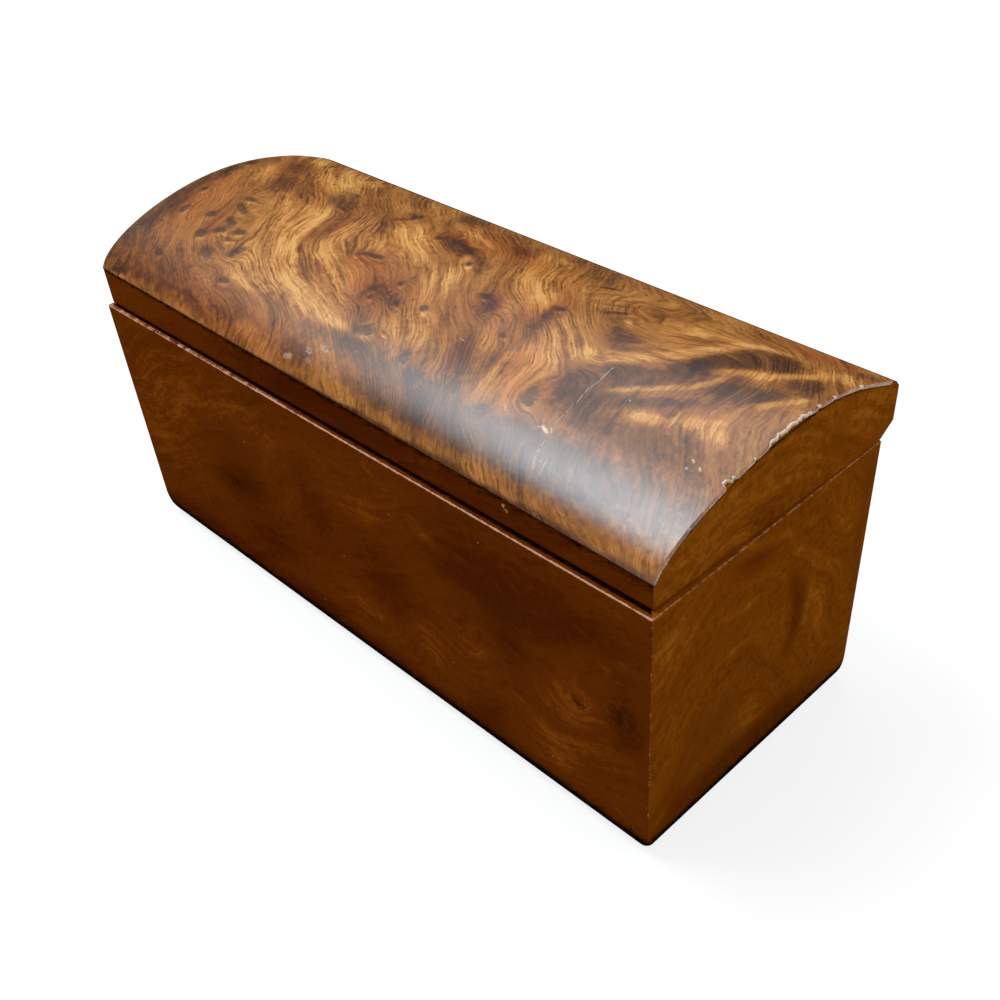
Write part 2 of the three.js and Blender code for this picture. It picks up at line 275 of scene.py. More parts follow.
@dataclass(frozen=True)
class DomeShape:
    """The lid's hand-shaped dome: straight lines ruled between two unlike end outlines."""

    left: DomeEnd = DomeEnd(10.4, 24.5, 42.5, 18.4)
    right: DomeEnd = DomeEnd(6.6, 21.4, 47.5, 14.4)
    shoulder_run: float = 0.07
    shoulder_rise: float = 0.52
    front_crown: float = 0.41
    back_crown: float = 0.43
    back_run: float = 0.31
    back_drop: float = 0.47
    depth: float = 79.4
    veneer_end: float = 76.3
    veneer: float = 0.8
    corner_drop: float = 4.2
    front_y: float = -36.8
    seam_z: float = 72.6
    left_x: float = -100.1
    right_front_x: float = 98.55
    right_back_x: float = 99.9
    bevel_start: float = 74.71
    bevel_angle: float = math.radians(35)
    worn_corner: float = 1.5
    worn_along: float = 7.0
    worn_across: float = 12.0
    samples: int = 401

    def controls(self, end: DomeEnd) -> tuple[Array, Array]:
        """Control points of an end's two curves, front band to crown and crown to veneer's back.

        Args:
            end: The end whose outline is asked for.

        Returns:
            Four points for each curve, Y from the lid's front and Z from the seam.
        """
        rise, drop = end.crown - end.band, end.crown - end.back
        run = self.veneer_end - end.crown_place
        front = [
            [0, end.band],
            [end.crown_place * self.shoulder_run, end.band + rise * self.shoulder_rise],
            [end.crown_place * (1 - self.front_crown), end.crown],
            [end.crown_place, end.crown],
        ]
        back = [
            [end.crown_place, end.crown],
            [end.crown_place + run * self.back_crown, end.crown],
            [self.veneer_end - run * self.back_run, end.back + drop * self.back_drop],
            [self.veneer_end, end.back],
        ]
        return np.array(front, float), np.array(back, float)

    def outline(self, end: DomeEnd, turn: Array, depth: float | Array = 0.0) -> Array:
        """Points of an end's outline, sunk below the surface square to it.

        A cubic Bezier curve is (1-t)^3 A + 3(1-t)^2 t B + 3(1-t) t^2 C + t^3 D, and the inward
        direction is its slope turned by a quarter.

        Args:
            end: The end whose outline is asked for.
            turn: From 0 at the front band over 1 at the crown to 2 at the veneer's back edge.
            depth: How far below the surface.

        Returns:
            Y from the lid's front and Z from the seam, on the last axis.
        """
        t = np.where(turn < 1, turn, turn - 1)[..., None]
        front, back = self.controls(end)
        a, b, c, d = np.moveaxis(np.where((turn < 1)[..., None, None], front, back), -2, 0)
        place = (1 - t) ** 3 * a + 3 * (1 - t) ** 2 * t * b + 3 * (1 - t) * t**2 * c + t**3 * d
        slope = (1 - t) ** 2 * (b - a) + 2 * (1 - t) * t * (c - b) + t**2 * (d - c)
        inward = np.stack([slope[..., 1], -slope[..., 0]], -1)
        inward /= np.linalg.norm(inward, axis=-1, keepdims=True)
        return place + inward * np.asarray(depth, float)[..., None]

    def right_x(self, y: Array) -> Array:
        """X of the lid's right end, which leans in towards the front."""
        return mix(self.right_front_x, self.right_back_x, y / self.depth)

    def finish(self, x: Array, y: Array, z: Array) -> Array:
        """Points in the box's frame from X, Y from the lid's front and Z from the seam."""
        return np.stack([x, y + self.front_y, z + self.seam_z], -1)

    def surface(self, share: Array, turn: Array, depth: Array) -> Array:
        """Points of the dome: the straight line between the two end outlines at the same turn.

        Args:
            share: From 0 at the left end to 1 at the right.
            turn: From 0 at the front band over 1 at the crown to 2 at the veneer's back edge.
            depth: How far below the surface.

        Returns:
            X, Y and Z in the box's frame, on the last axis.
        """
        left, right = self.outline(self.left, turn, depth), self.outline(self.right, turn, depth)
        x = mix(self.left_x, self.right_x(right[..., 0]), share)
        y, z = mix(left[..., 0], right[..., 0], share), mix(left[..., 1], right[..., 1], share)
        return self.finish(x, y, z - self.sag(x, y))

    def sag(self, x: Array, y: Array) -> Array:
        """How far the hand-worn left back corner lies below the ruled dome, Y from the lid's front.

        Args:
            x: Places along the box.
            y: Places back from the lid's front.

        Returns:
            How much lower the surface is at each place.
        """
        along = np.clip(1 - (x - self.left_x) / self.worn_along, 0, 1)
        across = np.clip((y - self.depth + self.worn_across) / self.worn_across, 0, 1)
        return self.worn_corner * along**2 * across**2

    def ways(self) -> tuple[Array, Array]:
        """Turns up the mean outline, and how far each lies from the crease.

        Returns:
            Turns from 0 to 2, and the way up to each of them.
        """
        turns = np.linspace(0, 2, self.samples)
        middle = (self.outline(self.left, turns) + self.outline(self.right, turns)) / 2
        steps = np.linalg.norm(np.diff(middle, axis=0), axis=1)
        return turns, np.concatenate([[0], np.cumsum(steps)])

    def back_corner(self, end: DomeEnd, share: Array) -> Array:
        """Points of the rounded corner behind the veneer, (1-t)^2 A + 2(1-t) t B + t^2 C.

        Args:
            end: The end whose outline is asked for.
            share: From 0 at the veneer's back edge to 1 on the back face.

        Returns:
            Y from the lid's front and Z from the seam, on the last axis.
        """
        _, back = self.controls(end)
        run, rise = back[3] - back[2]
        a = np.array([self.veneer_end, end.back])
        b = np.array([self.depth, end.back + (self.depth - self.veneer_end) * rise / run])
        c = np.array([self.depth, end.back - self.corner_drop])
        t = share[..., None]
        return (1 - t) ** 2 * a + 2 * (1 - t) * t * b + t**2 * c

    def height(self, x: Array, y: Array, depth: float) -> Array:
        """Height of the dome above the seam over a point in plan, Y from the lid's front.

        Args:
            x: Places along the box.
            y: Places back from the lid's front.
            depth: How far below the surface.

        Returns:
            The height at each place.
        """
        turns, corner = np.linspace(0, 2, self.samples), np.linspace(0, 1, self.samples // 8)
        ends = []
        for end in (self.left, self.right):
            line = np.concatenate([self.outline(end, turns, depth), self.back_corner(end, corner)])
            ends.append(np.interp(y, line[:, 0], line[:, 1]))
        share = np.clip((x - self.left_x) / (self.right_x(y) - self.left_x), 0, 1)
        return mix(*ends, share) - self.sag(x, y)

    def bevel(self, y: Array) -> Array:
        """Height of the lid's lower face above the seam, which a bevel lifts at the back."""
        return np.maximum(0, y - self.bevel_start) * math.tan(self.bevel_angle)


# The figure in the wood

Mark = tuple[float, float, float]
Hill = tuple[float, float, float, float]
Blot = tuple[float, float, float, float, float, float]


@dataclass(frozen=True)
class BurlFigure:
    """Where the growth lines run over a face and where its knots, clouds and bright patches lie.

    Places are millimetres along and up the face. A mark is a place and the angle of the growth
    line there. A hill is a place, a radius and a lift, and the lines bend round it. A blot is a
    place, its two half widths, the tilt of the first in degrees, and its strength.
    """

    width: float
    height: float
    marks: tuple[Mark, ...]
    hills: tuple[Hill, ...]
    eyes: tuple[Blot, ...]
    clouds: tuple[Blot, ...]
    rusts: tuple[Blot, ...]
    golds: tuple[Blot, ...]
    lattice: float = 8.0
    spread: float = 8.5
    stiffness: float = 0.12
    eye_reach: float = 1.5
    eye_lift: float = 0.9
    # How far the painted highlight beside each eye lies to the right and down
    eye_glint_shift: float = 1.1

    def bells(self, at: Array, length: float) -> tuple[Array, Array]:
        """Bell curves on a row of centres along one axis, and their slopes.

        Args:
            at: Places on the axis.
            length: How long the face is along it.

        Returns:
            The curves and their slopes, each as places by centres.
        """
        centres = np.arange(-self.lattice, length + 2 * self.lattice, self.lattice)
        away = (at[:, None] - centres) / self.spread
        lifts = np.exp(-away * away / 2)
        return lifts, -away * lifts / self.spread

    def weights(self) -> tuple[Array, Array]:
        """Fits the growth surface to the marks.

        The surface is a plane plus a lattice of bell-shaped hills. At each mark its slope along
        the growth line is zero and its slope across the line is one, in the least squares
        sense, and a small pull towards the bare plane keeps the rest smooth.

        Returns:
            The plane's two slopes, and the hills' lifts on their lattice.
        """
        u, v, angle = np.array(self.marks, float).T
        bell_u, slope_u = self.bells(u, self.width)
        bell_v, slope_v = self.bells(v, self.height)
        one, none = np.ones((len(u), 1)), np.zeros((len(u), 1))
        rise_u = (slope_u[:, :, None] * bell_v[:, None, :]).reshape(len(u), -1)
        rise_v = (bell_u[:, :, None] * slope_v[:, None, :]).reshape(len(u), -1)
        rise_u, rise_v = np.hstack([one, none, rise_u]), np.hstack([none, one, rise_v])
        cos, sin = np.cos(np.radians(angle))[:, None], np.sin(np.radians(angle))[:, None]
        pull = np.eye(rise_u.shape[1]) * self.stiffness
        pull[:2] = 0
        rows = np.vstack([2 * (rise_u * cos + rise_v * sin), rise_v * cos - rise_u * sin, pull])
        wanted = np.concatenate([np.zeros(len(u)), np.ones(len(u)), np.zeros(len(pull))])
        found = np.linalg.lstsq(rows, wanted, rcond=None)[0]
        return found[:2], found[2:].reshape(bell_u.shape[1], bell_v.shape[1])

    def growth(self, u: Array, v: Array) -> Array:
        """Height of the growth surface, whose contours are the growth lines, in millimetres.

        Args:
            u: Places along the face.
            v: Places up the face.

        Returns:
            The height at each place.
        """
        plane, lifts = self.weights()
        bell_u, _ = self.bells(u, self.width)
        bell_v, _ = self.bells(v, self.height)
        grown = plane[0] * u + plane[1] * v + ((bell_u @ lifts) * bell_v).sum(1)
        hills = list(self.hills)
        for at_u, at_v, half_u, half_v, _tilt, strength in self.eyes:
            radius = math.sqrt(half_u * half_v) * self.eye_reach
            hills.append((at_u, at_v, radius, self.eye_lift * radius * strength))
        for at_u, at_v, radius, lift in hills:
            grown = grown + lift * np.exp(-((u - at_u) ** 2 + (v - at_v) ** 2) / radius**2 / 2)
        return grown

    @staticmethod
    def blots(u: Array, v: Array, blots: tuple[Blot, ...]) -> Array:
        """How strongly a set of soft oval blots covers each point: 1 - product of (1 - s e^(-r^2)).

        Args:
            u: Places along the face.
            v: Places up the face.
            blots: The blots.

        Returns:
            Zero clear of them all, up to one.
        """
        bare = np.ones_like(u)
        for at_u, at_v, half_u, half_v, tilt, strength in blots:
            turn = math.radians(tilt)
            first = (u - at_u) * math.cos(turn) + (v - at_v) * math.sin(turn)
            second = (v - at_v) * math.cos(turn) - (u - at_u) * math.sin(turn)
            bare = bare * (1 - strength * bell(first, half_u) * bell(second, half_v))
        return 1 - bare

    def values(self, u: Array, v: Array) -> dict[str, Array]:
        """Point attributes of the figure at u along and v up the face, with no abrasion, painted highlight
        or painted shade.

        Args:
            u: Places along the face.
            v: Places up the face.

        Returns:
            A flat array for each attribute.
        """
        u, v = u.reshape(-1).astype(float), v.reshape(-1).astype(float)
        return {
            "growth": self.growth(u, v),
            "eye": self.blots(u, v, self.eyes),
            # A lighter crescent at the lower right of each eye, a painted highlight
            "rim": self.blots(u - self.eye_glint_shift, v + self.eye_glint_shift, self.eyes),
            "cloud": self.blots(u, v, self.clouds),
            "gold": self.blots(u, v, self.golds),
            "rust": self.blots(u, v, self.rusts),
            "along": u,
            "way": v,
            "worn": np.zeros_like(u),
            "stain": np.zeros_like(u),
        }


DOME_FIGURE = BurlFigure(
    width=200,
    height=81,
    marks=(
        (10, 70, -45), (25, 70, -42), (40, 72, -40), (55, 72, -40), (10, 58, -45), (25, 58, -45),
        (40, 60, -38), (5, 45, -55), (15, 45, -48), (30, 45, -45), (42, 50, -40), (15, 33, -50),
        (28, 20, -45), (38, 33, -45), (12, 20, -60), (20, 18, -50), (30, 12, -15), (10, 8, -60),
        (45, 10, -5), (60, 11, -10), (50, 25, -45), (58, 22, -35), (65, 19, -18), (75, 17, -8), (88, 16, 0),
        (50, 33, -62), (47, 40, -88), (50, 47, -114), (57, 44, -68), (63, 42, -66), (70, 38, -42),
        (72, 48, -30), (80, 48, -30), (90, 50, -32), (75, 30, -32), (85, 25, -20), (72, 24, -18),
        (95, 42, -35), (100, 38, -45), (104, 46, -60), (110, 36, -40), (112, 30, -38), (118, 25, -38),
        (110, 22, -42), (120, 20, -48), (126, 28, -60), (130, 15, -66), (124, 12, -50), (135, 22, -72),
        (138, 30, -82), (133, 35, -74), (128, 42, -40), (120, 46, -36), (113, 52, -56), (108, 60, -60),
        (104, 68, -46), (98, 72, -45), (92, 65, -28), (85, 68, -35), (118, 62, -70), (124, 56, -54),
        (132, 50, -25), (118, 72, -60), (126, 70, -58), (128, 62, -58), (134, 56, -40), (139, 50, -55),
        (143, 46, -30), (150, 44, -8), (156, 46, 16), (140, 56, -80), (147, 52, -30), (152, 50, -10),
        (150, 60, -50), (160, 62, -60), (160, 52, 34), (166, 52, 50), (170, 58, 58), (163, 45, 34),
        (155, 41, 12), (150, 30, -60), (156, 25, -66), (162, 20, -80), (168, 28, -90), (160, 32, -76),
        (172, 22, -72), (180, 35, -62), (190, 32, -60), (185, 60, -70), (176, 48, 35), (195, 60, -52),
        (185, 70, -55), (170, 70, -55), (195, 72, -60), (150, 73, -55), (160, 76, -55), (180, 25, -52),
        (190, 20, -44), (150, 12, -62), (170, 10, -72), (190, 10, -72), (140, 10, -72), (85, 6, -62),
        (75, 5, -76), (65, 5, -86), (72, 9, -50), (90, 10, -36), (105, 10, -32), (70, 62, -50),
        (75, 74, -45), (60, 58, -35), (135, 72, -55), (5, 30, -70), (30, 5, -70),
    ),
    hills=((64, 40, 6, 2.0), (142, 60, 5, 3.0), (153, 38, 3, 3.0), (33, 22, 6, 2.0)),
    eyes=(
        (7, 38.5, 1.6, 1.9, 0, 0.85), (10.5, 28.5, 1.7, 2.7, 0, 0.8), (20.5, 30.4, 2.1, 1.8, 0, 0.95),
        (24.5, 41.6, 3.8, 1.5, 10, 0.7), (26.8, 37.0, 4.6, 1.6, -28, 0.95),
        (29.6, 30.8, 3.2, 1.5, -32, 0.9), (30, 26.8, 2.5, 1.7, 30, 0.9), (36, 28.6, 2.6, 1.4, 24, 0.85),
        (35.6, 25.0, 1.6, 1.1, 0, 0.7), (25.6, 23.0, 2.3, 2.3, -30, 0.95), (42.8, 23.4, 2.8, 1.8, 35, 0.9),
        (42.3, 20.6, 2.2, 1.0, 0, 0.7), (34, 18.4, 3.6, 2.2, -25, 1.0), (48, 13.4, 2.5, 1.2, 8, 0.95),
        (19, 11.6, 2.2, 1.3, -20, 0.95), (3.4, 17, 2.0, 3.0, 30, 0.7), (2.6, 57, 1.5, 2.5, 0, 0.8),
        (3.2, 50, 1.4, 2.0, 0, 0.5), (5.5, 27, 1.0, 1.8, 0, 0.5), (7.5, 1.6, 3.5, 1.4, 8, 0.9),
        (68.4, 63.5, 1.8, 3.6, 10, 0.75), (66.6, 58, 1.6, 2.2, 0, 0.6), (50, 53.2, 3.2, 1.1, -20, 0.7),
        (53, 59, 4.0, 1.3, -20, 0.45), (45, 62.5, 2.6, 1.0, -40, 0.5), (78.5, 40.2, 4.2, 1.0, 12, 0.8),
        (74, 38.4, 1.8, 0.9, 35, 0.6), (84, 57, 1.8, 1.6, 0, 0.7), (90.5, 57.6, 3.2, 1.6, -15, 0.85),
        (95.5, 55.6, 2.4, 1.4, -30, 0.8), (101.2, 50.8, 1.2, 1.3, 0, 0.85),
        (89.3, 29.8, 2.0, 2.6, -20, 0.75), (91.4, 27.4, 0.9, 0.7, 0, 0.95), (94.2, 35.2, 1.1, 1.3, 0, 0.8),
        (99.3, 28.8, 1.6, 0.9, -35, 0.85), (94.6, 31.2, 0.6, 0.6, 0, 0.9), (102, 32, 0.5, 0.6, 0, 0.7),
        (106.9, 30.9, 1.9, 1.1, -42, 1.0), (115.8, 42.0, 2.2, 1.2, -20, 0.8),
        (120.3, 38.8, 2.4, 1.1, -48, 0.9), (130.4, 33.2, 1.5, 0.8, -25, 0.9),
        (132.0, 31.4, 0.8, 0.5, 0, 0.5), (133.4, 47.8, 1.8, 1.3, 0, 0.85), (133.8, 43.2, 1.5, 2.4, 15, 0.6),
        (98.6, 18.3, 3.5, 2.2, 12, 0.86), (104.4, 20.2, 0.8, 0.5, 0, 0.8),
        (114.9, 16.8, 2.2, 3.0, 35, 0.86), (122.4, 13.8, 1.9, 2.2, 10, 0.86),
        (128.6, 8.6, 0.6, 1.3, 0, 0.6), (142.6, 13.6, 2.9, 2.6, -30, 0.86),
        (149.3, 22.2, 2.4, 3.3, 12, 0.88), (150.6, 20.2, 2.4, 1.0, -30, 0.5),
        (154.2, 38.4, 1.9, 0.6, 15, 0.6), (118, 57, 0.5, 0.5, 0, 0.5), (84.6, 25.1, 2.2, 0.35, 0, 0.6),
        (148, 63, 2.4, 0.7, 40, 0.45), (146, 51, 3.6, 0.8, -38, 0.5), (172, 74, 2.6, 1.2, -50, 0.4),
        (30, 75, 3.0, 0.9, -42, 0.3), (112, 76, 2.4, 1.2, -40, 0.4),
    ),
    clouds=(
        (22, 10, 30, 9, 0, 0.5), (30, 4, 40, 3, 0, 0.35), (3, 30, 5, 34, 0, 0.45), (87, 6, 7, 4, 0, 0.5),
        (62, 7, 16, 3, 0, 0.35), (122, 5, 22, 3, 0, 0.35), (95, 22, 6, 3, 0, 0.4),
        (101, 14, 13, 4.6, -6, 0.5), (86, 13, 8, 2.6, 0, 0.5), (118, 13, 10, 3.6, -10, 0.5),
        (150, 7, 50, 4, 0, 0.5), (5, 25, 7, 15, 0, 0.4), (2, 52, 4, 14, 0, 0.5), (14, 66, 9, 6, -35, 0.5),
        (48, 56, 11, 5, -34, 0.7), (25, 54, 7, 4, -40, 0.5), (75, 76, 8, 5, -40, 0.6),
        (68, 63, 5, 6, 15, 0.5), (57.6, 44, 2.6, 8.5, 22, 0.5), (92, 57, 11, 4, -20, 0.85),
        (104, 52, 8, 3, -52, 0.6), (79, 39, 6, 2, -8, 0.4), (91, 30, 6, 6, 0, 0.65),
        (99, 29, 5, 3, -30, 0.6), (118, 40.5, 7, 3.4, -45, 0.75), (127, 25, 3.4, 13, 28, 0.75),
        (134, 44, 3.2, 8, 10, 0.75), (136, 63, 5.5, 0.8, 42, 0.8), (139, 60.5, 5.5, 0.8, 40, 0.8),
        (142, 58, 5.5, 0.8, 38, 0.8), (145, 55.4, 5, 0.8, 36, 0.7), (133, 66, 4, 0.9, 42, 0.6),
        (147, 51.5, 9, 2.4, -32, 0.5), (104, 67, 9, 4, -35, 0.5), (128, 70, 9, 5, -45, 0.45),
        (181, 60, 8.5, 6, -12, 1.0), (172, 46, 4.6, 8, -24, 0.9), (186, 64, 6, 3, -30, 0.35),
        (164, 37.4, 6, 2.2, 6, 0.85), (175, 34, 8, 1.6, 28, 0.7), (187, 45, 7, 3.4, 20, 0.95),
        (194, 55, 4, 6, 20, 0.8), (155, 31, 6, 5, -40, 0.55), (154, 46, 7, 5, 0, 0.65),
        (163, 36, 8, 6, 0, 0.5), (135, 25, 3, 6, 10, 0.6), (160, 27, 9, 6, 0, 0.5),
        (186, 44, 8, 8, 0, 0.35), (176, 52, 9, 8, 0, 0.4), (175, 22, 20, 3, 0, 0.4),
        (30, 35, 10, 4, -45, 0.25), (120, 78, 40, 5, 0, 0.3), (22, 52, 12, 4, -45, 0.35),
        (166, 11.5, 42, 5.5, 0, 0.85), (184, 13, 22, 5, 0, 0.5), (184, 27, 20, 8, 0, 0.4),
        (168, 56, 2.0, 5, -30, 0.4), (197, 74, 5, 5, 0, 0.5),
    ),
    rusts=(
        (92, 30, 11, 8, -10, 0.9), (118, 40, 8, 6, -40, 0.8), (22, 27, 22, 16, -20, 0.45),
        (79, 38, 10, 5, 0, 0.7), (92, 57, 14, 6, -20, 0.7), (57, 45, 4, 10, 22, 0.6),
        (132, 44, 5, 10, 0, 0.7), (8, 38, 9, 20, 0, 0.45), (50, 6, 60, 8, 0, 0.7), (185, 4, 20, 3, 0, 0.4),
        (183, 36, 20, 14, 0, 0.4), (68, 60, 6, 9, 0, 0.5), (127, 24, 5, 14, 28, 0.6),
        (100, 67, 26, 8, -20, 0.75), (150, 22, 9, 9, 0, 0.5), (186, 76, 14, 6, 0, 0.9),
        (140, 27, 6, 10, 10, 0.6), (30, 56, 18, 6, -40, 0.5), (12, 62, 12, 6, -40, 0.4),
    ),
    golds=(
        (29, 71, 13, 5, -40, 1.0), (36, 75, 6, 4, -40, 0.9), (25, 66, 7, 4, -40, 0.7),
        (8, 76, 10, 4, -20, 0.8), (10, 57, 8, 4, -40, 0.5), (38, 47, 8, 5, -42, 0.6),
        (50.5, 44, 2.6, 8.5, 20, 0.8), (64.5, 43, 4, 9, 22, 0.9), (55, 27, 12, 5, -48, 0.8),
        (46, 25, 7, 4, -48, 1.0), (43, 36, 8, 4, -60, 0.6), (65, 35, 6, 6, -50, 0.9), (66, 5, 6, 4, 0, 0.6),
        (66, 20, 10, 3.4, -16, 0.8), (78, 17.8, 12, 2.0, 0, 0.6), (91, 16.8, 7, 1.3, 2, 0.9),
        (55, 15, 8, 3, -10, 0.5), (75, 27, 8, 5, -30, 0.5), (78, 52, 10, 5, -20, 0.7),
        (76, 45, 8, 4, -20, 0.5), (88, 45, 12, 6, -32, 0.6), (102, 47, 3, 8, 25, 0.8),
        (112, 63, 5, 13, 28, 0.6), (118, 55, 4, 13, 22, 0.6), (126, 48, 9, 4, -36, 0.75),
        (141, 35, 6, 9, 8, 0.55), (146, 23, 6, 8, 0, 0.85), (139, 23, 4, 8, 8, 0.6),
        (152, 38.6, 5, 2.6, 16, 0.8), (134.5, 62, 5.5, 0.8, 42, 0.8), (137.4, 59.2, 5.5, 0.8, 40, 0.8),
        (140.6, 56.6, 5.5, 0.8, 38, 0.7), (160, 42.6, 6, 2.0, 33, 0.9), (166.6, 48.4, 5, 2.2, 44, 1.0),
        (170.6, 55.6, 5.4, 2.2, 68, 1.0), (173.4, 63, 5, 2.2, 62, 0.9), (179, 67.4, 5, 1.8, 20, 0.7),
        (149.6, 53, 6, 1.0, -52, 0.7), (178.6, 49.4, 3.6, 1.4, 40, 1.0), (184.4, 52.4, 3.6, 2.2, 20, 1.0),
        (188.4, 56.4, 4, 1.6, 52, 1.0), (191.4, 60, 2.6, 1.2, 62, 1.0), (166, 33.4, 4.4, 1.1, 36, 0.9),
        (172.4, 37.8, 4.4, 1.1, 36, 0.9), (177.6, 42.4, 3.6, 1.1, 54, 1.0),
        (179.4, 46.6, 2.4, 0.9, 76, 0.9), (176, 29.2, 6, 1.6, 16, 0.9), (182.6, 32.2, 4, 2.0, 24, 0.75),
        (190, 31.8, 5, 2.4, -8, 0.75), (187.4, 34.6, 2, 1.0, 30, 0.8), (192.4, 44.6, 5.4, 1.3, 50, 1.0),
        (195.8, 48.8, 2.4, 0.9, 62, 1.0), (157, 46, 3, 1.0, 30, 0.6), (125, 31, 6, 3, -45, 0.5),
        (108, 25, 9, 4, -40, 0.5), (98.4, 52.4, 0.9, 1.8, 0, 1.0), (79, 37, 2.0, 1.2, 0, 0.6),
        (88, 66, 8, 3, -25, 0.5), (195, 66, 4, 6, -30, 0.9), (115, 70, 6, 4, -50, 0.4),
        (163, 60, 8, 3, -50, 0.4),
    ),
)

FRONT_FIGURE = BurlFigure(
    width=200,
    height=84,
    marks=(
        (15, 20, 35), (15, 55, 45), (45, 60, 35), (50, 20, 38), (75, 45, 60), (90, 15, 30), (110, 55, 10),
        (120, 30, 15), (140, 20, -10), (150, 50, -20), (165, 30, -45), (180, 60, 30), (190, 15, 30),
        (30, 38, 40),
    ),
    hills=(
        (179, 36, 5, 6), (192, 38, 5, 7), (146, 32, 6, 5), (128, 24, 6, -5), (110, 20, 6, 5),
        (160, 62, 6, -5),
    ),
    eyes=(
        (50, 33.5, 4.6, 2.6, 20, 0.5), (55, 37, 4.0, 2.0, 10, 0.3), (85.5, 49, 3.0, 3.0, 0, 0.3),
        (180, 36.4, 2.8, 1.3, -28, 0.85), (193, 40, 4.6, 4.4, 0, 0.7), (191, 30, 2.4, 1.2, -30, 0.4),
        (112, 40, 5.0, 2.4, 10, 0.25), (146, 60, 3.0, 1.6, 10, 0.3), (153, 14, 2.6, 1.2, 40, 0.4),
        (24, 58, 2.4, 1.4, 0, 0.2),
    ),
    clouds=(
        (100, 79, 50, 7, 0, 0.8), (175, 79, 40, 7, 0, 0.4), (52, 44, 18, 18, 0, 0.4),
        (100, 5, 110, 4, 0, 0.7), (52, 34, 13, 6, 15, 0.7), (88, 46, 9, 16, 10, 0.5),
        (116, 34, 14, 12, 0, 0.6), (150, 56, 20, 13, 0, 0.75), (178, 58, 22, 12, 0, 0.55),
        (194, 38, 6, 10, 0, 0.6), (62, 20, 26, 8, 25, 0.6), (20, 8, 24, 6, 10, 0.6), (82, 8, 18, 6, 0, 0.5),
        (160, 40, 8, 10, 0, 0.45), (150, 12, 9, 6, 30, 0.5),
    ),
    rusts=(
        (110, 80, 90, 8, 0, 0.5), (165, 62, 35, 12, 0, 0.4), (62, 20, 50, 10, 25, 0.5),
        (115, 30, 20, 16, 0, 0.3), (60, 6, 60, 5, 0, 0.4),
    ),
    golds=(
        (28, 55, 24, 14, 10, 0.7), (10, 34, 14, 14, 0, 0.55), (58, 62, 16, 8, 0, 0.5),
        (112, 54, 7, 6, 0, 0.5), (130, 22, 5, 8, 20, 0.6), (146, 32, 5, 7, 0, 0.65),
        (178, 34, 7, 7, 0, 1.0), (172, 16, 7, 8, 30, 0.7), (108, 19, 14, 4, -15, 0.5),
        (132, 58.5, 8, 1.8, -15, 0.7), (146, 57.5, 4, 1.2, -10, 0.6), (186, 24, 8, 5, 20, 0.5),
        (182, 52, 5, 3, 30, 0.4), (44, 14, 16, 4, 20, 0.4),
    ),
)

END_FIGURE = BurlFigure(
    width=78,
    height=100,
    marks=(
        (46, 38, -82), (40, 52, -48), (26, 60, 4), (10, 54, 42), (6, 38, 62), (24, 42, 12), (24, 22, 30),
        (8, 20, 50), (38, 24, -30), (38, 36, -40), (48, 50, -65), (62, 30, -90), (62, 60, -75),
        (72, 40, -88), (30, 66, -15), (40, 64, -25), (50, 67, -50), (10, 68, 40), (30, 74, -10),
        (60, 72, -50), (12, 80, 25), (30, 84, 10), (45, 86, -20), (66, 84, -50), (56, 12, -80), (10, 8, 42),
        (28, 8, 35),
    ),
    hills=((24, 38, 9, -2), (36, 70, 5, 4), (50, 62, 4, 5), (60, 88, 6, 4)),
    eyes=(
        (50, 44, 1.4, 6.0, 10, 0.4), (59, 88, 1.8, 1.6, 0, 0.3), (26, 31, 2.0, 1.0, 0, 0.25),
        (49, 34, 1.2, 4.0, 0, 0.3),
    ),
    clouds=(
        (30, 7, 26, 6, 8, 0.9), (48, 50, 3, 8, 20, 0.6), (51, 40, 3.4, 10, -4, 0.7),
        (48, 30, 3, 6, -20, 0.4), (12, 10, 16, 9, 0, 0.5), (34, 66, 11, 4, -15, 0.55),
        (50, 6, 26, 6, 0, 0.6), (20, 26, 16, 8, 20, 0.4), (74, 58, 5, 14, 0, 0.5), (57, 82, 6, 8, 0, 0.5),
        (30, 50, 12, 5, 0, 0.35),
    ),
    rusts=(
        (8, 14, 8, 8, 0, 0.5), (40, 7, 7, 5, 0, 0.5), (30, 67, 16, 6, 0, 0.5), (58, 30, 4, 14, 0, 0.35),
        (20, 52, 12, 5, 0, 0.3), (64, 76, 14, 7, 0, 0.3), (28, 84, 16, 5, 10, 0.35),
    ),
    golds=(
        (12, 83, 14, 9, 0, 1.0), (40, 84, 40, 8, 0, 0.6), (52.5, 65, 2.2, 1.4, -50, 1.0),
        (45, 44, 1.0, 9, 6, 0.6), (55, 38, 1.0, 9, -8, 0.7), (49, 60, 3, 2.4, 0, 0.7),
        (60, 32, 3, 12, 0, 0.8), (56, 46, 1.4, 7, 20, 0.7), (35, 19, 4, 6, 0, 0.7),
        (26, 44, 7, 3, 30, 0.35), (4, 62, 4, 9, 0, 0.6), (66, 56, 8, 9, 0, 0.5),
        (36, 70, 12, 1.6, -18, 0.6), (20, 82, 16, 6, 10, 0.5), (46, 90, 12, 2, 10, 0.5),
        (70, 86, 8, 6, 0, 0.6), (4, 10, 4, 2, 30, 0.5), (14, 16, 5, 2, 40, 0.4),
        (28, 57, 14, 1.6, -12, 0.5),
    ),
)

# Scratches in the lacquer: the two ends on the face, the width and how pale each is

